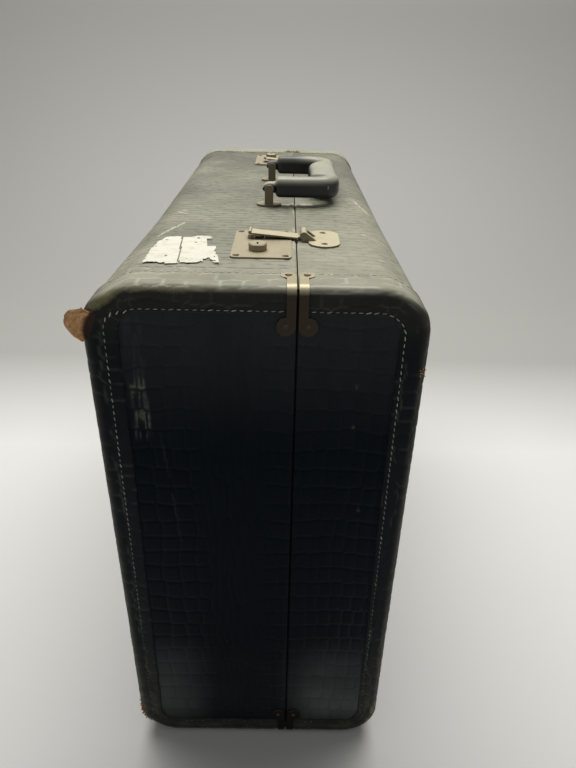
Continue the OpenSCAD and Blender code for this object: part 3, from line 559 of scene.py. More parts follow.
def coverPiece(side, name, body, seed):
    centre, normal, walked = halfPath(side, coverSpec["step"])
    ys = np.linspace(-coverEnd - 0.3, coverEnd + 0.3, round(2 * coverEnd / coverSpec["step"]))
    s, y = np.meshgrid(walked, ys, indexing="ij")
    crown, groove, tone = scaleGrain(s, y, coverSpec["cellAcross"], coverSpec["cellAlong"], seed,
                                     jitter=0.6, border=0.16, sameRow=0.25)
    swell = layeredNoise(s, y, 70, seed + 40) - 0.5
    lip = 5.2 if side < 0 else 0.1
    plain = smoothStep(lip, lip + 2.5, s)
    pressed = coverSpec["crown"] * (crown - 1) - coverSpec["groove"] * groove
    rise = plain * pressed + coverSpec["swell"] * (swell - 0.5)
    if side < 0:
        rise += 0.35 * (1 - smoothStep(3.6, 5.2, s)) - 0.5 * np.exp(-((s - 6) / 0.9) ** 2)
    rise -= rolledEdge(s, 1.4) + rolledEdge(walked[-1] - s, 1.4)
    reach = cornerR - proud + np.minimum(rise, 0.3)
    outer = np.stack([centre[:, :1] + normal[:, :1] * reach, y, centre[:, 1:] + normal[:, 1:] * reach], -1)
    rear = cornerR - proud - coverSpec["thick"]
    wells, seams = lockWells(centre, normal, ys) if side < 0 else ([], [0, -1])
    back = np.stack([np.stack([centre[:, 0] + normal[:, 0] * rear, np.full(len(walked), edge),
                               centre[:, 1] + normal[:, 1] * rear], -1) for edge in ys[seams]], 1)
    clearOfBevel(back, side)
    sprungOut(clearOfBevel(outer, side), side)
    # Dust and a painted sheen on the faces turned up to the light, paler towards the near end
    up = smoothStep(-0.1, 0.75, normal[:, 1:]) * np.ones_like(s)
    nearEndPaler = -(0.42 * np.minimum(y, 0) + 0.22 * np.maximum(y, 0)) / halfL  # palest towards the near end
    nearEndPaler += side * 0.13 * np.exp(-((y + 100) / 110) ** 2)
    dust = 0.03 + up * (0.42 + 0.5 * layeredNoise(s, y, 60, seed + 50) + nearEndPaler)
    edgeWear = np.exp(-(s / 2.2) ** 2) * (0.6 if side < 0 else 0.3)
    scuffed = smoothStep(0.58, 0.75, layeredNoise(s, y, 34, seed + 60)) * 0.45 * crown
    scuffed += 0.7 * smoothStep(0.8, 0.9, layeredNoise(s, y * 2.2, 7, seed + 65)) * (0.2 + 0.8 * up)
    # the scratch mask also brings in that painted highlight under the handle
    scraped = scratchMask(outer[..., 0], y, coverSpec["scratchesAndHighlight"]) * (up > 0.3)
    wear = np.clip(edgeWear + scuffed + scraped, 0, 1)
    lidNearGroovesLighter = 0.5 * (1 - smoothStep(-220, -90, y)) if side > 0 else 0  # grooves drawn less dark on the lid's near part
    marks = {"groove": groove * plain * (1 - lidNearGroovesLighter), "tone": tone, "dust": np.clip(dust, 0, 1), "wear": wear}
    bare = np.zeros(back.shape[0] * back.shape[1])
    marks = {k: np.concatenate([v.ravel(), bare]) for k, v in marks.items()}
    verts, faces, marks = dropLoose(*closedSheet(outer, back, side > 0, wells), marks)
    return meshPiece(name, verts, faces, grainLeather, body, [f"{body}_cover"], marks)


coverPiece(-1, "baseCoverLeather", "base", 11)
coverPiece(1, "lidCoverLeather", "lid", 23)
print("covers done")

# End panels: the same hide, with squarish scales at the back that narrow to slits towards the seam
panelSpec = {"step": 1.15, "thick": 1.6, "cellWide": 12, "cellTall": 17, "groove": 0.5, "crown": 0.28,
             "slitWide": 6.5, "slitTall": 34, "spots": ((69, 396), (68.5, 362), (78, 285)),
             "scratch": [((-73, 354), (-69, 314), 0.9), ((-67.5, 298), (-64.2, 249), 0.9)]}


# Stretches the length along the panel, so that cells of one size come out wide or narrow
def cellCount(x):
    knots = [baseOut, -80, -55, -35, -8, seamX, 45, 75, lidOut]
    widths = [17, 16, 13, 8, 6, 8, 10, 10.5, 12]
    fine = np.linspace(baseOut, lidOut, 900)
    walked = np.cumsum(panelSpec["cellWide"] / np.interp(fine, knots, widths)) * (fine[1] - fine[0])
    return np.interp(x, fine, walked)


def panelPiece(side, end, name, body, seed):
    under = panelIn - 1.5  # a little of the panel lies beneath the binding
    out = baseOut + under if side < 0 else lidOut - under
    edge = baseSeam if side < 0 else lidSeam
    xs = np.linspace(edge, out, round(abs(edge - out) / panelSpec["step"]))
    turn = cornerR - under
    inner = np.maximum(0, turn - np.abs(xs - out))
    drop = turn - np.sqrt(np.maximum(0, turn ** 2 - inner ** 2))
    part = np.linspace(0, 1, round((tall - 2 * under) / panelSpec["step"]))
    low, high = under + drop, tall - under - drop
    z = low[:, None] + (high - low)[:, None] * part
    x = xs[:, None] * np.ones_like(z)
    crown, groove, tone = scaleGrain(cellCount(x), z, panelSpec["cellWide"], panelSpec["cellTall"], seed,
                                     jitter=0.26, border=0.13, sameRow=1.0, brick=0.14, warp=0.4)
    slitCrown, slits, slitTone = scaleGrain(x, z, panelSpec["slitWide"], panelSpec["slitTall"], seed + 90,
                                            jitter=0.85, border=0.3, sameRow=3.0, brick=0.6, warp=0.8)
    middle = 1 - smoothStep(14, 34, np.abs(x + 20 + 8 * (layeredNoise(x, z, 50, seed + 91) - 0.5)))
    crown = crown + middle * (0.5 + 0.3 * slitCrown - crown)
    groove = groove + middle * (np.clip(0.3 * slits, 0, 0.8) - groove)
    tone = tone + middle * (slitTone - tone)
    swell = layeredNoise(x, z, 80, seed + 40) - 0.5
    rise = panelSpec["crown"] * (crown - 1) - panelSpec["groove"] * groove + 0.8 * swell
    rise = np.minimum(rise, 0.3) - rolledEdge(np.abs(x - edge), 1.2)
    outer = np.stack([x, end * (panelFace + rise), z], -1)
    rear = np.full(len(xs), end * (panelFace - panelSpec["thick"]))
    back = np.stack([np.stack([xs, rear, height], -1) for height in (low, high)], 1)
    clearOfBevel(outer, side)
    rubbed = (1 - smoothStep(5.5, 8, np.abs(x + 85.5))) * smoothStep(345, 352, z)
    rubbed = rubbed * (1 - 0.6 * smoothStep(396, 404, z)) * (1 - smoothStep(440, 450, z)) * (1 - groove)
    strokes = smoothStep(0.3, 0.62, valueNoise(x * 3.2, z * 0.5, 5, seed + 70)) * (0.6 + 0.4 * tone)
    rubbed = rubbed * strokes if end < 0 and side < 0 else 0 * x
    scraped = scratchMask(x, z, panelSpec["scratch"]) * layeredNoise(x, z, 9, seed + 72) if end < 0 else 0 * x
    # foot: a painted reflection of the floor, paler towards the bottom
    foot = (1 - smoothStep(40, 145, z)) * (0.4 + 0.6 * smoothStep(12, 45, z))
    foot = foot * (0.5 + layeredNoise(x * 0.5, z, 40, seed + 50))
    foot = foot * (0.1 + 0.9 * smoothStep(25, 75, np.abs(x + 12)))
    dust = 0.012 + 0.75 * foot + 0.24 * smoothStep(330, 460, z) + 0.35 * rubbed + 0.2 * scraped
    wear = 1.2 * rubbed * (0.4 + 0.6 * layeredNoise(x, z, 5, seed + 71))
    if end < 0:
        for px, pz in panelSpec["spots"]:
            wear = wear + 0.55 * np.exp(-((x - px) / 3) ** 2 - ((z - pz) / 4.5) ** 2)
    # grooves drawn paler towards the bottom, away from the middle and most towards the right
    paleGrooves = (0.15 + 0.85 * (1 - smoothStep(80, 240, z))) * smoothStep(18, 45, np.abs(x + 22))
    paleGrooves *= 0.55 + 0.75 * np.exp(-((x - 82) / 22) ** 2) * smoothStep(60, 110, z)
    marks = {"groove": np.clip(groove * paleGrooves, 0, 1), "tone": tone, "dust": np.clip(dust, 0, 1),
             "wear": np.clip(wear, 0, 1)}
    marks = {k: np.concatenate([v.ravel(), np.zeros(back.shape[0] * 2)]) for k, v in marks.items()}
    verts, faces = closedSheet(outer, back, flip=side * end > 0)
    nodes = [f"{body}_end_panels"] if end < 0 else []
    return meshPiece(name, verts, faces, panelLeather, body, nodes, marks)


for side, body in ((-1, "base"), (1, "lid")):
    for end, where in ((-1, "Near"), (1, "Far")):
        panelPiece(side, end, f"{body}{where}Panel", body, 31 + 4 * side + 9 * end)
print("end panels done")

# Bindings: a thick band folded over each end's edge, with a sewn channel on its face and on its top
bandSpec = {"step": 1.9, "across": 1.1, "thick": 2.6, "topStitch": 3.2, "pitch": 5.2, "length": 3.6,
            "thread": 0.38, "sunk": 0.15, "firstStitch": 10.5}


def stitchInset(normal, side):
    back = smoothStep(0.5, 1.0, side * normal[..., 0])
    return 16.9 - (7.2 if side < 0 else 1.2) * back


# The band's section: the length across it, its depth below the edge and its distance from the end
def bandSection():
    run = bandWrap - edgeR
    bend = edgeR * math.pi / 2
    face = run + bend
    q = np.concatenate([np.arange(0, run, bandSpec["across"]), run + np.linspace(0, bend, 11),
                        face + np.arange(0.8, bandEnd - edgeR, bandSpec["across"]), [face + bandEnd - edgeR]])
    angle = np.clip((q - run) / edgeR, 0, math.pi / 2)
    inset = np.where(q > face, edgeR + q - run - bend, edgeR * (1 - np.cos(angle)))
    inset = np.where(q < run, 0, inset)
    fromEnd = np.where(q < run, bandWrap - q, np.where(q > face, 0, edgeR * (1 - np.sin(angle))))
    return q, inset, fromEnd, np.cos(angle), np.sin(angle)


def stitchRows(points, along, normals, seed):
    ring = np.linspace(0, 2 * math.pi, 6, endpoint=False)
    spans = np.array([-1, -0.82, -0.35, 0.35, 0.82, 1])
    fat = np.array([0.25, 0.75, 1, 1, 0.75, 0.25])
    verts, faces = [], []
    for k in range(len(points)):
        rand = cellHash(np.array([k]), np.array([seed]), 71 + seed)[0]
        side = np.cross(normals[k], along[k])
        lean = math.radians(7 + 18 * (rand - 0.5))
        run = along[k] * math.cos(lean) + side * math.sin(lean)
        over = np.cross(normals[k], run)
        size = bandSpec["thread"] * (0.8 + 0.35 * rand)
        reach = bandSpec["length"] / 2 * (0.75 + 0.35 * rand)
        dip = -0.55 * np.abs(spans) ** 3
        loops = [points[k] + run * reach * spans[m] + normals[k] * dip[m] * size
                 + (np.outer(np.cos(ring), over) + np.outer(np.sin(ring), normals[k]) * 0.8) * size * fat[m]
                 for m in range(len(spans))]
        tubeVerts, tubeFaces = closedTube(np.array(loops), flip=True)
        faces += [[v + k * len(tubeVerts) for v in f] for f in tubeFaces]
        verts.append(tubeVerts)
    return np.concatenate(verts), faces


def bindingPiece(side, end, name, body, node, seed):
    centre, normal, walked = halfPath(side, bandSpec["step"])
    q, inset, fromEnd, facing, turned = bandSection()
    s, qq = np.meshgrid(walked, q, indexing="ij")
    crown, groove, tone = scaleGrain(s, qq + 300, 13, 11, seed, border=0.12)
    sewn = (bandWrap - edgeR + edgeR * (math.pi / 2 - 1)) + stitchInset(normal, side)[:, None]
    channel = np.exp(-((qq - bandSpec["topStitch"]) / 1.1) ** 2) + np.exp(-((qq - sewn) / 1.1) ** 2)
    crease = layeredNoise(s, qq, 9, seed + 30) - 0.5
    rise = -0.45 * groove - 0.4 * channel + 0.35 * crease + 0.15 * (crown - 1)
    pastEdge = qq - bandWrap + edgeR
    ridge = np.exp(-((pastEdge - edgeR * 0.9) / 4.5) ** 2)
    corner = smoothStep(45, 100, s) * (1 - smoothStep(135, 150, s)) if side < 0 and end < 0 else 0 * s
    rise += corner * ridge ** 0.5 * (layeredNoise(s, qq, 4, 9) - 0.75)
    nearSeam = np.minimum(s, walked[-1] - s)
    rise = np.minimum(rise, 0.1) - 0.5 * (1 - smoothStep(7.5, 10, nearSeam)) - rolledEdge(nearSeam, 1.2)
    rise -= rolledEdge(qq, 1.2) + rolledEdge(q[-1] - qq, 1.0)
    reach = cornerR - inset + rise * facing
    y = end * (halfL - fromEnd + rise * turned)
    outer = np.stack([centre[:, :1] + normal[:, :1] * reach, y * np.ones_like(s),
                      centre[:, 1:] + normal[:, 1:] * reach], -1)
    thick = bandSpec["thick"]
    behind = []
    for d, w in ((bandEnd, thick), (thick + 1, thick), (thick, thick + 1), (thick, bandWrap)):
        deep = cornerR - d
        behind.append(np.stack([centre[:, 0] + normal[:, 0] * deep, np.full(len(walked), end * (halfL - w)),
                                centre[:, 1] + normal[:, 1] * deep], -1))
    rings = np.concatenate([outer, np.stack(behind, 1)], 1)
    sprungOut(clearOfBevel(rings, side), side)
    verts, faces = closedTube(rings, flip=side * end < 0)
    up = smoothStep(0.3, 1.0, normal[:, 1:] * facing)
    # dust and a painted sheen, most on the faces turned up
    dust = 0.018 + 0.03 * facing + up * (0.85 + 0.4 * layeredNoise(s, qq, 50, seed + 50))
    chalkAndHighlight = up ** 2 * groove * smoothStep(0.22, 0.52, layeredNoise(s, qq, 16, seed + 52))
    # painted highlights: pale lines along the start of the bend
    bendHighlights = np.exp(-((pastEdge - 2.2) / 0.9) ** 2) + 0.35 * np.exp(-((pastEdge - 7.5) / 0.7) ** 2)
    bendHighlights *= smoothStep(0.3, 0.9, normal[:, 1:]) * smoothStep(0.35, 0.6, layeredNoise(s, qq, 12, seed + 53))
    chalkAndHighlight = np.maximum(chalkAndHighlight * (0.85 if end < 0 else 0.3), bendHighlights * (0.7 if side > 0 else 0.3))
    chalkAndHighlight = np.maximum(chalkAndHighlight, 0.07 * groove * smoothStep(0.35, 0.6, layeredNoise(s, qq, 20, seed + 54)))
    dust += 0.07 * smoothStep(415, 470, outer[..., 2])
    dust = dust + 0.16 * ridge ** 3 * layeredNoise(s, qq, 7, seed + 55)
    wear = 0.32 * ridge * smoothStep(0.45, 0.7, layeredNoise(s, qq, 26, seed + 60))
    wear += 0.95 * ridge * corner * (0.3 + 0.7 * layeredNoise(s, qq, 5, 5))
    footAt = walked[-1] - abs(baseOut - baseSeam if side < 0 else lidOut - lidSeam) - cornerR * 0.57
    frayed = np.exp(-((s - footAt) / 24) ** 2) * ridge
    frayed = frayed * smoothStep(0.4, 0.7, layeredNoise(s, qq, 5, seed + 80))
    chip = np.exp(-((s - 143) / 4) ** 2 - ((qq - 24) / 6) ** 2) if side > 0 and end < 0 else 0
    nearFloor = 1 - smoothStep(2, 40, outer[..., 2])
    dust = dust + 0.12 * (1 - smoothStep(5, 150, outer[..., 2])) * (0.3 + layeredNoise(s, qq, 10, seed + 86))
    wear = wear + 1.3 * frayed + chip + 0.5 * nearFloor * layeredNoise(s, qq, 6, seed + 85)
    sunken = groove * 0.6 * (1 - up) + channel * (1 - 0.8 * up)
    marks = {"groove": np.clip(sunken, 0, 1), "tone": tone, "dust": np.clip(dust, 0, 1),
             "wear": np.clip(wear, 0, 1), "chalkAndHighlight": chalkAndHighlight}
    marks = {k: np.concatenate([v, np.zeros((len(walked), 4))], 1).ravel() for k, v in marks.items()}
    meshPiece(name, verts, faces, bandLeather, body, [node], marks)

    points, along, normals = [], [], []
    sunk, first = bandSpec["sunk"], bandSpec["firstStitch"]
    topY = end * (halfL - bandWrap + bandSpec["topStitch"])
    for row in (0, 1):  # on the top, then on the face
        line = centre + normal * (cornerR - (stitchInset(normal, side)[:, None] if row else 0))
        sewnLength = np.concatenate([[0], np.cumsum(np.linalg.norm(np.diff(line, axis=0), axis=1))])
        for sewnAt in np.arange(first, sewnLength[-1] - first, bandSpec["pitch"]):
            at = np.interp(sewnAt, sewnLength, walked)
            c = np.array([np.interp(at, walked, centre[:, 0]), np.interp(at, walked, centre[:, 1])])
            n = np.array([np.interp(at, walked, normal[:, 0]), np.interp(at, walked, normal[:, 1])])
            n /= np.linalg.norm(n)
            ahead = np.array([side * n[1], 0, -side * n[0]])
            if row:
                r = cornerR - stitchInset(n, side)
                points.append((c[0] + n[0] * r, end * (halfL - sunk), c[1] + n[1] * r))
                normals.append((0, end, 0))
            else:
                r = cornerR - sunk
                points.append((c[0] + n[0] * r, topY, c[1] + n[1] * r))
                normals.append((n[0], 0, n[1]))
            along.append(ahead)
    points = np.array(points)
    onTop = np.array(normals)[:, 1] == 0
    points[onTop] = sprungOut(points[onTop], side)
    verts, faces = stitchRows(points, np.array(along), np.array(normals), seed)
    order = np.arange(len(points))
    # end-face stitches darkened, more towards the bottom: painted shade and dirt; those on top stay clean
    darkening = 0.3 + 0.5 * (1 - smoothStep(60, 400, points[:, 2]))
    darkening = darkening + 0.2 * layeredNoise(points[:, 2], points[:, 0], 30, 7)
    darkening += 0.3 * (cellHash(order, 0 * order + 3, seed) - 0.3)
    darkening = np.clip(np.where(onTop, 0, darkening), 0, 1)
    marks = {"dirt": np.repeat(darkening, len(verts) // len(points))}
    meshPiece(name + "Stitches", verts, faces, linenThread, body, (), marks)


for side, body in ((-1, "base"), (1, "lid")):
    for end, where in ((-1, "near"), (1, "far")):
        bindingPiece(side, end, f"{body}{where.title()}Binding", body, f"{body}_{where}_binding",
                     57 + 5 * side + 3 * end)
print("bindings done")

# Handle: fat sewn leather on a core, an eye at each end round its loop's bar
gripSpec = {"leg": 17, "grip": 30, "corner": 30, "eye": 6.4, "eyeWide": 11, "square": 3.6, "around": 40,
            "sag": 2.0, "extra": 2.0}


def handlePiece():
    low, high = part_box("handle_leather")
    outX, outY, top, bottom = high.x / mm, high.y / mm, high.z / mm, low.z / mm
    eyeX, eyeZ = low.x / mm + gripSpec["eye"], spot("near_handle_loop", 1, 2) - 4
    leg, grip, turn = gripSpec["leg"], gripSpec["grip"], gripSpec["corner"]
    midZ = (top + bottom) / 2 - gripSpec["sag"] - gripSpec["extra"]
    halfT = (top - bottom) / 2 + gripSpec["extra"]
    legY = -outY + leg / 2
    rows = []  # centre x, y, z, half width, half height, direction
    for dx in (-6.35, -5.6, -4.2, -2.2, 0, 2.5, 4.6):
        rise = math.sqrt(max(0.3, gripSpec["eye"] ** 2 - min(dx, 0) ** 2))
        rows.append((eyeX + dx, legY, eyeZ, gripSpec["eyeWide"] / 2 - 0.2, rise, 0))
    for dx, part in ((6.2, 0.15), (6.9, 0.5), (8.0, 0.85), (10, 1)):
        rows.append((eyeX + dx, legY, eyeZ + (midZ - eyeZ) * part, 5.3 + (leg / 2 - 5.3) * part,
                     gripSpec["eye"] + (halfT - gripSpec["eye"]) * part, 0))
    for x in np.linspace(eyeX + 13, outX - turn, 10):
        rows.append((x, legY, midZ, leg / 2, halfT, 0))
    for a in np.linspace(0.12, math.pi / 2, 11):
        r = turn - leg / 2
        rows.append((outX - turn + r * math.sin(a), -outY + turn - r * math.cos(a), midZ, leg / 2, halfT, a))
    for y in np.linspace(-outY + turn + 2, 0, 20):
        wide = leg + (grip - leg) * smoothStep(-outY + turn, -outY + turn + 13, y)
        rows.append((outX - wide / 2, y, midZ, wide / 2, halfT, math.pi / 2))
    rows += [(x, -y, z, w, t, math.pi - a) for x, y, z, w, t, a in rows[-2::-1]]
    rows = np.array(rows)
    ring = np.linspace(0, 2 * math.pi, gripSpec["around"], endpoint=False)
    angle = rows[:, 5:6]
    rounder = 1.2 * smoothStep(0.2, 1.4, angle) * smoothStep(0.2, 1.4, math.pi - angle)
    power = 2 / (gripSpec["square"] - rounder)
    across = np.sign(np.cos(ring)) * np.abs(np.cos(ring)) ** power
    above = np.sign(np.sin(ring)) * np.abs(np.sin(ring)) ** power
    walked = np.concatenate([[0], np.cumsum(np.hypot(*np.diff(rows[:, :2], axis=0).T))])
    w, a = np.meshgrid(walked, ring * 10, indexing="ij")
    dent = 0.5 * (layeredNoise(w, a, 16, 301) - 0.7)
    crease = np.exp(-(np.mod(ring + 0.5, math.pi) - 0.5) ** 2 / 0.004) * 0.35
    half = rows[:, 3:4] + dent - crease
    up = rows[:, 4:5] + dent
    x = rows[:, :1] + half * across * np.sin(angle)
    y = rows[:, 1:2] - half * across * np.cos(angle)
    bent = smoothStep(0.2, 1.0, angle) * (1 - smoothStep(12, 34, np.abs(np.abs(rows[:, 1:2]) - outY)))
    bent = np.maximum(bent, bent[::-1])
    z = rows[:, 2:3] + up * above * np.where(above < 0, 1 - 0.4 * bent, 1)
    verts, faces = closedTube(np.stack([x, y, z], -1))
    shaded = smoothStep(40, 60, y) * (1 - smoothStep(outX - 45, outX - 25, x))
    bare = np.exp(-(((x - 55) / 11) ** 2 + ((y - 42) / 14) ** 2))
    # painted sheen on the top, held back on the far arm as painted shade
    dust = smoothStep(0.4, 0.85, above) * (0.85 + 0.4 * layeredNoise(w, a, 30, 315)) * (1 - 0.7 * shaded)
    marks = {"groove": crease * 2 + 0 * x, "tone": layeredNoise(w, a, 20, 311), "dust": dust,
             "wear": np.where(above > 0.5, bare, 0) * 0.9}
    marks = {k: np.clip(v, 0, 1).ravel() for k, v in marks.items()}
    meshPiece("handleGrip", verts, faces, gripLeather, "handle", ["handle_leather"], marks)


handlePiece()
print("handle done")

# Paper label: a torn corner piece, cracked across and lifting at its far edge
labelSpec = {"near": ((-86, -261), (-31, -253)), "far": ((-86, -187), (-42, -184)), "cell": 1.05,
             "thick": 0.16, "crack": ((-67.5, -186), (-60.5, -257), 0.75)}


# Height of the base's top at a place across it
def topZ(x):
    past = np.maximum(0, baseOut + cornerR - x)
    r = cornerR - proud
    return coverTop - r + np.sqrt(np.maximum(0, r * r - past * past))


def labelPiece():
    (n0, n1), (f0, f1) = np.array(labelSpec["near"]), np.array(labelSpec["far"])
    wide = round(np.linalg.norm(n1 - n0) / labelSpec["cell"])
    deep = round(np.linalg.norm(f0 - n0) / labelSpec["cell"])
    a, b = np.meshgrid(np.linspace(0, 1, wide + 1), np.linspace(0, 1, deep + 1), indexing="ij")
    flat = (n0 * (1 - a[..., None]) + n1 * a[..., None]) * (1 - b[..., None]) \
        + (f0 * (1 - a[..., None]) + f1 * a[..., None]) * b[..., None]
    x, y = flat[..., 0], flat[..., 1]
    ca, cb = a[:-1, :-1] + 0.5 / wide, b[:-1, :-1] + 0.5 / deep
    cx, cy = x[:-1, :-1], y[:-1, :-1]
    inset = np.minimum(np.minimum(ca, 1 - ca) * 50, np.minimum(cb, 1 - cb) * 74)
    ragged = layeredNoise(cx, cy, 9, 401, 4)
    keep = inset > 9 * np.maximum(0, ragged - 0.42) * (0.35 + 1.1 * ca)
    keep &= ~((ca > 0.86) & (cb > 0.62 + 0.2 * (ragged - 0.5)) & (cb < 0.9))
    keep &= ~((ca < 0.3) & (cb < 0.09 + 0.25 * (ragged - 0.5)))
    rounded = np.maximum(0, 1 - ca / 0.34) ** 2 + np.maximum(0, (cb - 0.58) / 0.42) ** 2
    keep &= rounded < 1.05 + 0.5 * (ragged - 0.5)
    keep &= ~((ca > 0.8) & (cb < 0.18) & (ragged > 0.45))
    keep &= layeredNoise(cx, cy, 6, 411) < 0.83
    keep &= scratchMask(cx, cy, [labelSpec["crack"]]) < 0.5
    for _ in range(4):
        odd = keep[:-1, :-1] & keep[1:, 1:] & ~keep[1:, :-1] & ~keep[:-1, 1:]
        keep[1:, :-1] |= odd
        odd = ~keep[:-1, :-1] & ~keep[1:, 1:] & keep[1:, :-1] & keep[:-1, 1:]
        keep[:-1, :-1] |= odd
    lift = 0.3 + 0.5 * layeredNoise(x, y, 12, 421) + 0.9 * smoothStep(0.9, 1.0, b) * smoothStep(0.6, 0.9, a)
    front = np.stack([x, y, topZ(x) + lift], -1).reshape(-1, 3)
    index = np.arange((wide + 1) * (deep + 1)).reshape(wide + 1, deep + 1)
    shift = index.size
    padded = np.pad(keep, 1)
    faces = []
    for i, j in zip(*np.nonzero(keep)):
        corner = [int(index[i, j]), int(index[i + 1, j]), int(index[i + 1, j + 1]), int(index[i, j + 1])]
        faces += [corner, [k + shift for k in corner[::-1]]]
        beside = (padded[i + 1, j], padded[i + 2, j + 1], padded[i + 1, j + 2], padded[i, j + 1])
        for k in range(4):
            if not beside[k]:
                p, q = corner[k], corner[(k + 1) % 4]
                faces.append([q, p, p + shift, q + shift])
    verts = np.concatenate([front, front - (0, 0, labelSpec["thick"])])
    verts, faces = dropLoose(verts, faces, {})[:2]
    meshPiece("paperLabel", verts, faces, labelPaper, "base", (), smooth=False)


labelPiece()
print("label done")

# Torn flap: a tongue of the binding peeled off the near top corner, suede side out
flapSpec = {"root": ((-110.5, -305.4, 449), (-114.5, -305.4, 430)), "reach": 14.6, "thick": 1.7,
            "grid": (34, 30)}


def flapPiece():
    down, out = flapSpec["grid"]
    t, v = np.meshgrid(np.linspace(0, 1, down), np.linspace(-0.3, 1, out), indexing="ij")
    top, low = np.array(flapSpec["root"])
    base = top + (low - top) * t[..., None]
    base[..., 0] -= 3.2 * np.sin(t * 2.4)
    ragged = layeredNoise(t * 30, np.maximum(v, 0) * 5, 5, 501) - 0.5
    leaf = np.sin(np.clip(0.75 + 2.3 * t, 0, math.pi)) ** 0.75 * (0.55 + 0.45 * smoothStep(0, 0.3, t))
    reach = flapSpec["reach"] * leaf * (1 + 0.16 * ragged)
    curl = np.maximum(v, 0)
    lifted = 8.5 * curl * (1 - t) ** 1.3 * (0.5 + 0.5 * smoothStep(0, 0.3, t))
    front = np.stack([base[..., 0] - reach * v,
                      base[..., 1] - 5.5 * np.sin(curl * 1.7) + 3.5 * curl ** 2 + ragged * curl,
                      base[..., 2] + lifted - curl * t + 1.5 * ragged * curl], -1)
    front[..., 1] += 0.9 * (layeredNoise(t * 26, v * 18, 5, 511) - 0.5)
    thin = flapSpec["thick"] * (1 - 0.6 * curl ** 3)
    back = front + np.stack([0.25 * thin, 0.95 * thin, -0.2 * thin], -1)
    verts, faces = closedSlab(front, back)
    raw = 1 - smoothStep(0.05, 0.3, v) + 0.75 * smoothStep(0.92, 1, v) + 0.5 * (1 - smoothStep(0, 0.06, t))
    raw = np.tile(np.clip(raw, 0, 1).ravel(), 2)
    meshPiece("tornFlap", verts, faces, tornHide, "base", (), {"groove": raw})


flapPiece()
print("flap done")

# Frayed hide: short fibres standing off the binding at its foot and at a chip on the lid's edge
fraySpec = {"thick": 0.7, "base": (-1, 12, 42, 44, 2.6),  # side, lowest, highest, how many, how long
            "lid": (1, 403, 411, 14, 1.3)}


def frayPiece(body):
    side, low, high, count, hair = fraySpec[body]
    bend = (baseOut if side < 0 else lidOut) - side * cornerR
    ring = np.linspace(0, 2 * math.pi, 5, endpoint=False)
    meshes = []
    for k in range(count):
        pick = [cellHash(np.array([k]), np.array([m]), 91)[0] for m in range(6)]
        z = low + (high - low) * pick[0]
        turn = math.asin(max(0, cornerR - z) / cornerR)
        roll = 1.3 * pick[1]
        out = np.array([side * math.cos(turn) * math.cos(roll), -math.sin(roll),
                        -math.sin(turn) * math.cos(roll)])
        reach = cornerR - edgeR + (edgeR - 0.6) * math.cos(roll)
        foot = np.array([bend + side * math.cos(turn) * reach, edgeR - halfL - (edgeR - 0.6) * math.sin(roll),
                         max(z, cornerR) - math.sin(turn) * reach])
        ahead = out + 0.8 * (np.array(pick[2:5]) - 0.5)
        ahead /= np.linalg.norm(ahead)
        across = np.cross(ahead, (0.3, 0.2, 0.9))
        across /= np.linalg.norm(across)
        over = np.cross(ahead, across)
        long = hair * (0.4 + pick[5])
        circle = np.outer(np.cos(ring), across) + np.outer(np.sin(ring), over)
        loops = [foot + ahead * long * d + circle * wide
                 for d, wide in ((0, fraySpec["thick"]), (0.5, fraySpec["thick"] * 0.8), (1, 0.12))]
        meshes.append(closedTube(np.array(loops)))
    verts, faces = joinMeshes(meshes)
    verts = sprungOut(verts, side)
    darkening = np.full(len(verts), 0.55 if side < 0 else 0.1)
    meshPiece(f"{body}Fray", verts, faces, tornHide, body, (), {"groove": darkening})


frayPiece("base")
frayPiece("lid")
print("fraying done")

# Linings, rim strips and the lip inside the base: cloth and thin leather glued to the boards
insideSpec = {"step": 6, "lining": 0.8, "pucker": 0.4, "rim": 1.5, "rimFoot": 1.8, "lip": 1.2}


def liningPiece(side, body):
    low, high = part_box(f"{body}_lining")
    centre, normal, walked = halfPath(side, insideSpec["step"])
    edge = (high if side < 0 else low).x / mm
    rows = (np.abs(normal[:, 1]) < 0.999) | (side * (centre[:, 0] - edge) > 0.05)
    centre, normal, walked = centre[rows], normal[rows], walked[rows]
    ys = np.linspace(low.y / mm, high.y / mm, round((high.y - low.y) / mm / insideSpec["step"]))
    s, y = np.meshgrid(walked, ys, indexing="ij")
    inset = low.z / mm
    grids = []
    puckered = inset + insideSpec["lining"] + insideSpec["pucker"] * layeredNoise(s, y, 45, 601)
    for depth in (puckered, inset + 0 * s):
        reach = cornerR - depth
        grids.append(np.stack([centre[:, :1] + normal[:, :1] * reach, y,
                               centre[:, 1:] + normal[:, 1:] * reach], -1))
    meshes = [closedSlab(*grids, flip=side < 0)]
    xs = np.linspace(edge, (low if side < 0 else high).x / mm, 24)
    turn = cornerR - inset
    bend = np.maximum(0, turn - np.abs(xs - xs[-1]))
    drop = turn - np.sqrt(np.maximum(0, turn ** 2 - bend ** 2))
    z = (inset + drop)[:, None] + (tall - 2 * (inset + drop))[:, None] * np.linspace(0, 1, 70)
    x = xs[:, None] + 0 * z
    for end in (-1, 1):
        face = end * (ys[-1] - insideSpec["lining"] - insideSpec["pucker"] * layeredNoise(x, z, 45, 611))
        glued = np.stack([x, end * ys[-1] + 0 * x, z], -1)
        meshes.append(closedSlab(np.stack([x, face, z], -1), glued, flip=side * end < 0))
    verts, faces = joinMeshes(meshes)
    meshPiece(f"{body}LiningCloth", verts, faces, liningCloth, body, [f"{body}_lining"])


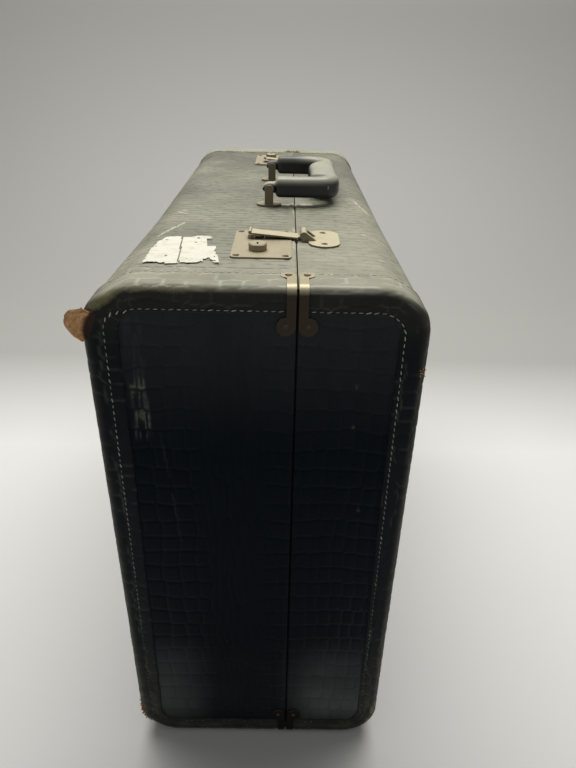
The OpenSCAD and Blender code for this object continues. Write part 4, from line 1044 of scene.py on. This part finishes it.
# A strip from start to end, rounded on its face
def strip(start, end, thick, wide, seed):
    start, end, thick, wide = (np.array(v, float) for v in (start, end, thick, wide))
    t = np.linspace(0, 1, max(2, round(np.linalg.norm(end - start) / insideSpec["step"])))[:, None, None]
    u = np.linspace(0, 1, 7)[None, :, None]
    face = start + (end - start) * t + wide * u
    wave = valueNoise(t[..., 0] * 300 + 0 * u[..., 0], u[..., 0] * 7 + 0 * t[..., 0], 14, seed)[..., None]
    crown = np.sqrt(1 - 0.7 * (2 * u - 1) ** 4)
    return closedSlab(face + thick * (0.8 * crown + 0.2 * wave * crown), face + 0 * t)


def framePiece(name, body, node, thickX):
    low, high = (np.array(v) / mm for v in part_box(node))
    inner = spot("base_lining", 0, 2) - 0.1
    x = low[0] if thickX > 0 else high[0]
    deep = inner - low[2]
    foot = low[2] + insideSpec["rimFoot"]
    meshes = []
    for y0, z0, y1, z1, wy, wz in ((low[1], high[2] - deep, high[1], high[2] - deep, 0, deep),
                                   (low[1], foot, high[1], foot, 0, inner - foot),
                                   (low[1], inner, low[1], high[2] - deep, deep, 0),
                                   (high[1] - deep, inner, high[1] - deep, high[2] - deep, deep, 0)):
        meshes.append(strip((x, y0, z0), (x, y1, z1), (thickX, 0, 0), (0, wy, wz), 31))
    verts, faces = joinMeshes(meshes)
    meshPiece(name, verts, faces, rimLeather, body, [node])


def lipPiece():
    low, high = (np.array(v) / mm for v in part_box("base_valance"))
    t = insideSpec["lip"]
    x, y0, z0 = low
    y1, z1 = high[1:]
    wide = (high[0] - x, 0, 0)
    meshes = [strip((x, y0, z1 - t), (x, y1, z1 - t), (0, 0, t), wide, 41),
              strip((x, y0, z0 + t), (x, y1, z0 + t), (0, 0, -t), wide, 42),
              strip((x, y0 + t, z0 + t), (x, y0 + t, z1 - t), (0, -t, 0), wide, 43),
              strip((x, y1 - t, z0 + t), (x, y1 - t, z1 - t), (0, t, 0), wide, 44)]
    verts, faces = joinMeshes(meshes)
    meshPiece("baseLip", verts, faces, rimLeather, "base", ["base_valance"])


liningPiece(-1, "base")
liningPiece(1, "lid")
framePiece("baseRim", "base", "base_rim", insideSpec["rim"])
framePiece("lidRim", "lid", "lid_rim", -insideSpec["rim"])
lipPiece()
print("inside done")

# Lock plates: a thin dark film of painted shade under the hasp's strap, open round the tongue's slot
strapShadeSpec = {"from": -14, "to": 20.5, "outer": 7, "slot": 3.4, "slotLong": 4.5, "gap": 0.02,
               "thick": 0.08}


def strapShadePiece(where):
    middle = (spot(f"{where}_hasp_pin", 0, 1) + spot(f"{where}_hasp_pin", 1, 1)) / 2
    slotX = (spot(f"{where}_lock_knob", 0, 0) + spot(f"{where}_lock_knob", 1, 0)) / 2
    floor = spot(f"{where}_lock_plate", 1, 2) + strapShadeSpec["gap"]
    start, stop, slot, outer = (strapShadeSpec[k] for k in ("from", "to", "slot", "outer"))
    long = strapShadeSpec["slotLong"]
    patches = [(start, stop, slot, outer), (start, stop, -outer, -slot),
               (start, slotX - long, -slot, slot), (slotX + long, stop, -slot, slot)]
    meshes = []
    for x0, x1, y0, y1 in patches:
        x, y = np.meshgrid(np.linspace(x0, x1, 60), np.linspace(y0, y1, 5), indexing="ij")
        ragged = 0.6 * (layeredNoise(x, y * 2, 5, 701) - 0.5) * (np.abs(y) > slot + 1)
        sheets = [np.stack([x, middle + y + ragged, floor + h + 0 * x], -1)
                  for h in (strapShadeSpec["thick"], 0)]
        meshes.append(closedSlab(*sheets))
    verts, faces = joinMeshes(meshes)
    meshPiece(f"{where}PlateStrapShade", verts, faces, nailBrass, "base", ())


# Nails: a dark ring round each head that shows on the top
nailRingSpec = {"reach": 2.5, "wobble": 0.35, "thick": 0.2}


def nailRingPiece(name, body, node):
    heads = []
    mesh = cadNodes[node].data
    co = np.empty(len(mesh.vertices) * 3)
    mesh.vertices.foreach_get("co", co)
    co = co.reshape(-1, 3) / mm
    crowns = co[co[:, 2] > coverTop + 1.0]
    for point in crowns:
        if all(math.hypot(point[0] - h[0], point[1] - h[1]) > 5 for h in heads):
            group = crowns[np.hypot(crowns[:, 0] - point[0], crowns[:, 1] - point[1]) < 4]
            heads.append(((group.min(0) + group.max(0)) / 2)[:2])
    ring = np.linspace(0, 2 * math.pi, 18, endpoint=False)
    meshes = []
    for x, y in heads:
        wobble = nailRingSpec["reach"] + nailRingSpec["wobble"] * np.sin(3 * ring + x)
        floor = coverTop + 0.9 if abs(y) < halfL - bandWrap - 5 else tall + 0.3
        loops = [np.stack([x + wobble * np.cos(ring), y + wobble * np.sin(ring), floor + h + 0 * ring], -1)
                 for h in (0, nailRingSpec["thick"])]
        meshes.append(closedTube(np.array(loops)))
    verts, faces = joinMeshes(meshes)
    meshPiece(name, verts, faces, nailBrass, body, ())


for where in ("near", "far"):
    strapShadePiece(where)
nailRingPiece("baseNailRing", "base", "base_nails")
nailRingPiece("lidNailRing", "lid", "lid_nails")
print("fittings done")

# CAD pieces that show as they are: boards, metal fittings and the parts inside
fittingSpec = {"wornEdge": 0.25}
shown = {
    "wood": (boardWood, [n for n in cadNodes if n.endswith(("_board", "_rail"))]),
    "steel": (dullSteel, [n for n in cadNodes
                          if n.endswith(("_hinge_pin", "_case", "_bolt", "_core", "_leaf"))]
              + ["handle_backing_plates"]),
    "nails": (nailBrass, ["base_nails", "lid_nails"]),
    "nickel": (nickelPlate, [n for n in cadNodes if n.endswith(("_lock_plate", "_knob"))]),
    "hasps": (haspPlate, [n for n in cadNodes if n.endswith(("_hasp", "_hasp_plate", "_hasp_pin"))]),
    "loops": (loopPlate, [n for n in cadNodes if n.endswith("_loop")]),
    "clips": (clipPlate, [n for n in cadNodes if n.endswith("_clips")]),
}
for material, names in shown.values():
    for n in names:
        cadNodes[n].data.materials.clear()
        cadNodes[n].data.materials.append(material)
        if material in (nickelPlate, haspPlate, loopPlate, clipPlate):
            bevel = cadNodes[n].modifiers.new("worn edges", "BEVEL")
            bevel.width = fittingSpec["wornEdge"] * mm
            bevel.segments = 2
            bevel.limit_method = "ANGLE"
print("CAD pieces done")

# Studio: pale floor rising into a backdrop, soft light from above and behind
stageSpec = {"wide": 4.0, "front": -2.2, "back": 1.5, "high": 3.0, "bend": 0.7, "gap": 0.0002}
lampSpec = {"place": (0, 0.58, 2.0), "aim": (0, 0, 0), "size": (2.2, 1.4), "watts": 45}
roomSpec = {"colour": "#e6e8ea", "onCase": 0.2, "seen": 0.75}


def backdropPiece():
    rows = [(stageSpec["front"], 0.0)]
    for a in np.linspace(0, math.pi / 2, 24):
        rows.append((stageSpec["back"] - stageSpec["bend"] + stageSpec["bend"] * math.sin(a),
                     stageSpec["bend"] * (1 - math.cos(a))))
    rows.append((stageSpec["back"], stageSpec["high"]))
    verts = [(x, y, z - stageSpec["gap"]) for y, z in rows for x in (-stageSpec["wide"], stageSpec["wide"])]
    faces = [(2 * k, 2 * k + 1, 2 * k + 3, 2 * k + 2) for k in range(len(rows) - 1)]
    mesh = bpy.data.meshes.new("backdrop")
    mesh.from_pydata(verts, [], faces)
    mesh.shade_smooth()
    material, tree, shader = newMaterial("backdrop paper")  # pale in front, greyer behind, softly mottled
    place = addNode(tree, "TexCoord").outputs["Object"]
    mottle = addNode(tree, "TexNoise", {"Vector": place, "Scale": 1 / (400 * mm), "Detail": 3})
    near = addNode(tree, "Mix", {0: mottle.outputs["Fac"], 6: hexToLinear("#ebe9e3"),
                                 7: hexToLinear("#f4f2ec")}, data_type="RGBA")
    # painted shade: the backdrop turns greyer further back
    depth = addNode(tree, "SeparateXYZ", {0: place}).outputs["Y"]
    away = addNode(tree, "MapRange", {0: depth, 1: 0.2, 2: 0.55})
    colour = addNode(tree, "Mix", {0: away.outputs[0], 6: near.outputs[2], 7: hexToLinear("#b3b1ab")},
                     data_type="RGBA")
    tree.links.new(colour.outputs[2], shader.inputs["Base Color"])
    shader.inputs["Roughness"].default_value = 0.6
    mesh.materials.append(material)
    piece = bpy.data.objects.new("backdrop", mesh)
    scene.collection.objects.link(piece)


backdropPiece()


def softbox():
    lamp = bpy.data.lights.new("overheadSoftbox", "AREA")
    lamp.shape = "RECTANGLE"
    lamp.size, lamp.size_y = lampSpec["size"]
    lamp.energy = lampSpec["watts"]
    piece = bpy.data.objects.new("overheadSoftbox", lamp)
    piece.location = lampSpec["place"]
    toward = Vector(lampSpec["aim"]) - Vector(lampSpec["place"])
    piece.rotation_euler = toward.to_track_quat("-Z", "Y").to_euler()
    scene.collection.objects.link(piece)


# The eye and mirrors see a pale room, the case gets little of its light
def paleRoom():
    world = bpy.data.worlds.new("studio")
    scene.world = world
    world.use_nodes = True
    tree = world.node_tree
    sky = tree.nodes["Background"]
    sky.inputs["Color"].default_value = hexToLinear(roomSpec["colour"])
    seen = addNode(tree, "LightPath").outputs
    direct = addNode(tree, "Math", {0: seen["Is Camera Ray"], 1: seen["Is Glossy Ray"]}, operation="MAXIMUM")
    either = addNode(tree, "Math", {0: direct.outputs[0], 1: seen["Is Transmission Ray"]},
                     operation="MAXIMUM")
    room = addNode(tree, "MapRange", {0: either.outputs[0], 3: roomSpec["onCase"], 4: roomSpec["seen"]})
    tree.links.new(room.outputs[0], sky.inputs["Strength"])


softbox()
paleRoom()
print("studio done")

# Camera fitted to the photo's edges
cameraSpec = {"place": (16.0, -692.7, 608.0), "pitch": 0.4967, "yaw": 0.01087, "roll": -0.02336,
              "focal": 627.8, "pixels": 768, "sensor": 36}


def cameraPiece():
    pitch, yaw, roll = (cameraSpec[k] for k in ("pitch", "yaw", "roll"))
    ahead = Vector((math.sin(yaw) * math.cos(pitch), math.cos(yaw) * math.cos(pitch), -math.sin(pitch)))
    right = ahead.cross(Vector((0, 0, 1))).normalized()
    down = ahead.cross(right)
    across = right * math.cos(roll) + down * math.sin(roll)
    below = -right * math.sin(roll) + down * math.cos(roll)
    lens = bpy.data.cameras.new("camera")
    lens.sensor_width = cameraSpec["sensor"]
    lens.lens = cameraSpec["focal"] * cameraSpec["sensor"] / cameraSpec["pixels"]
    lens.clip_start = 0.01
    piece = bpy.data.objects.new("camera", lens)
    turn = Matrix((across, -below, -ahead)).transposed().to_4x4()
    piece.matrix_world = Matrix.Translation(Vector(cameraSpec["place"]) * mm) @ turn
    scene.collection.objects.link(piece)
    scene.camera = piece


cameraPiece()
scene.view_settings.view_transform = "Standard"
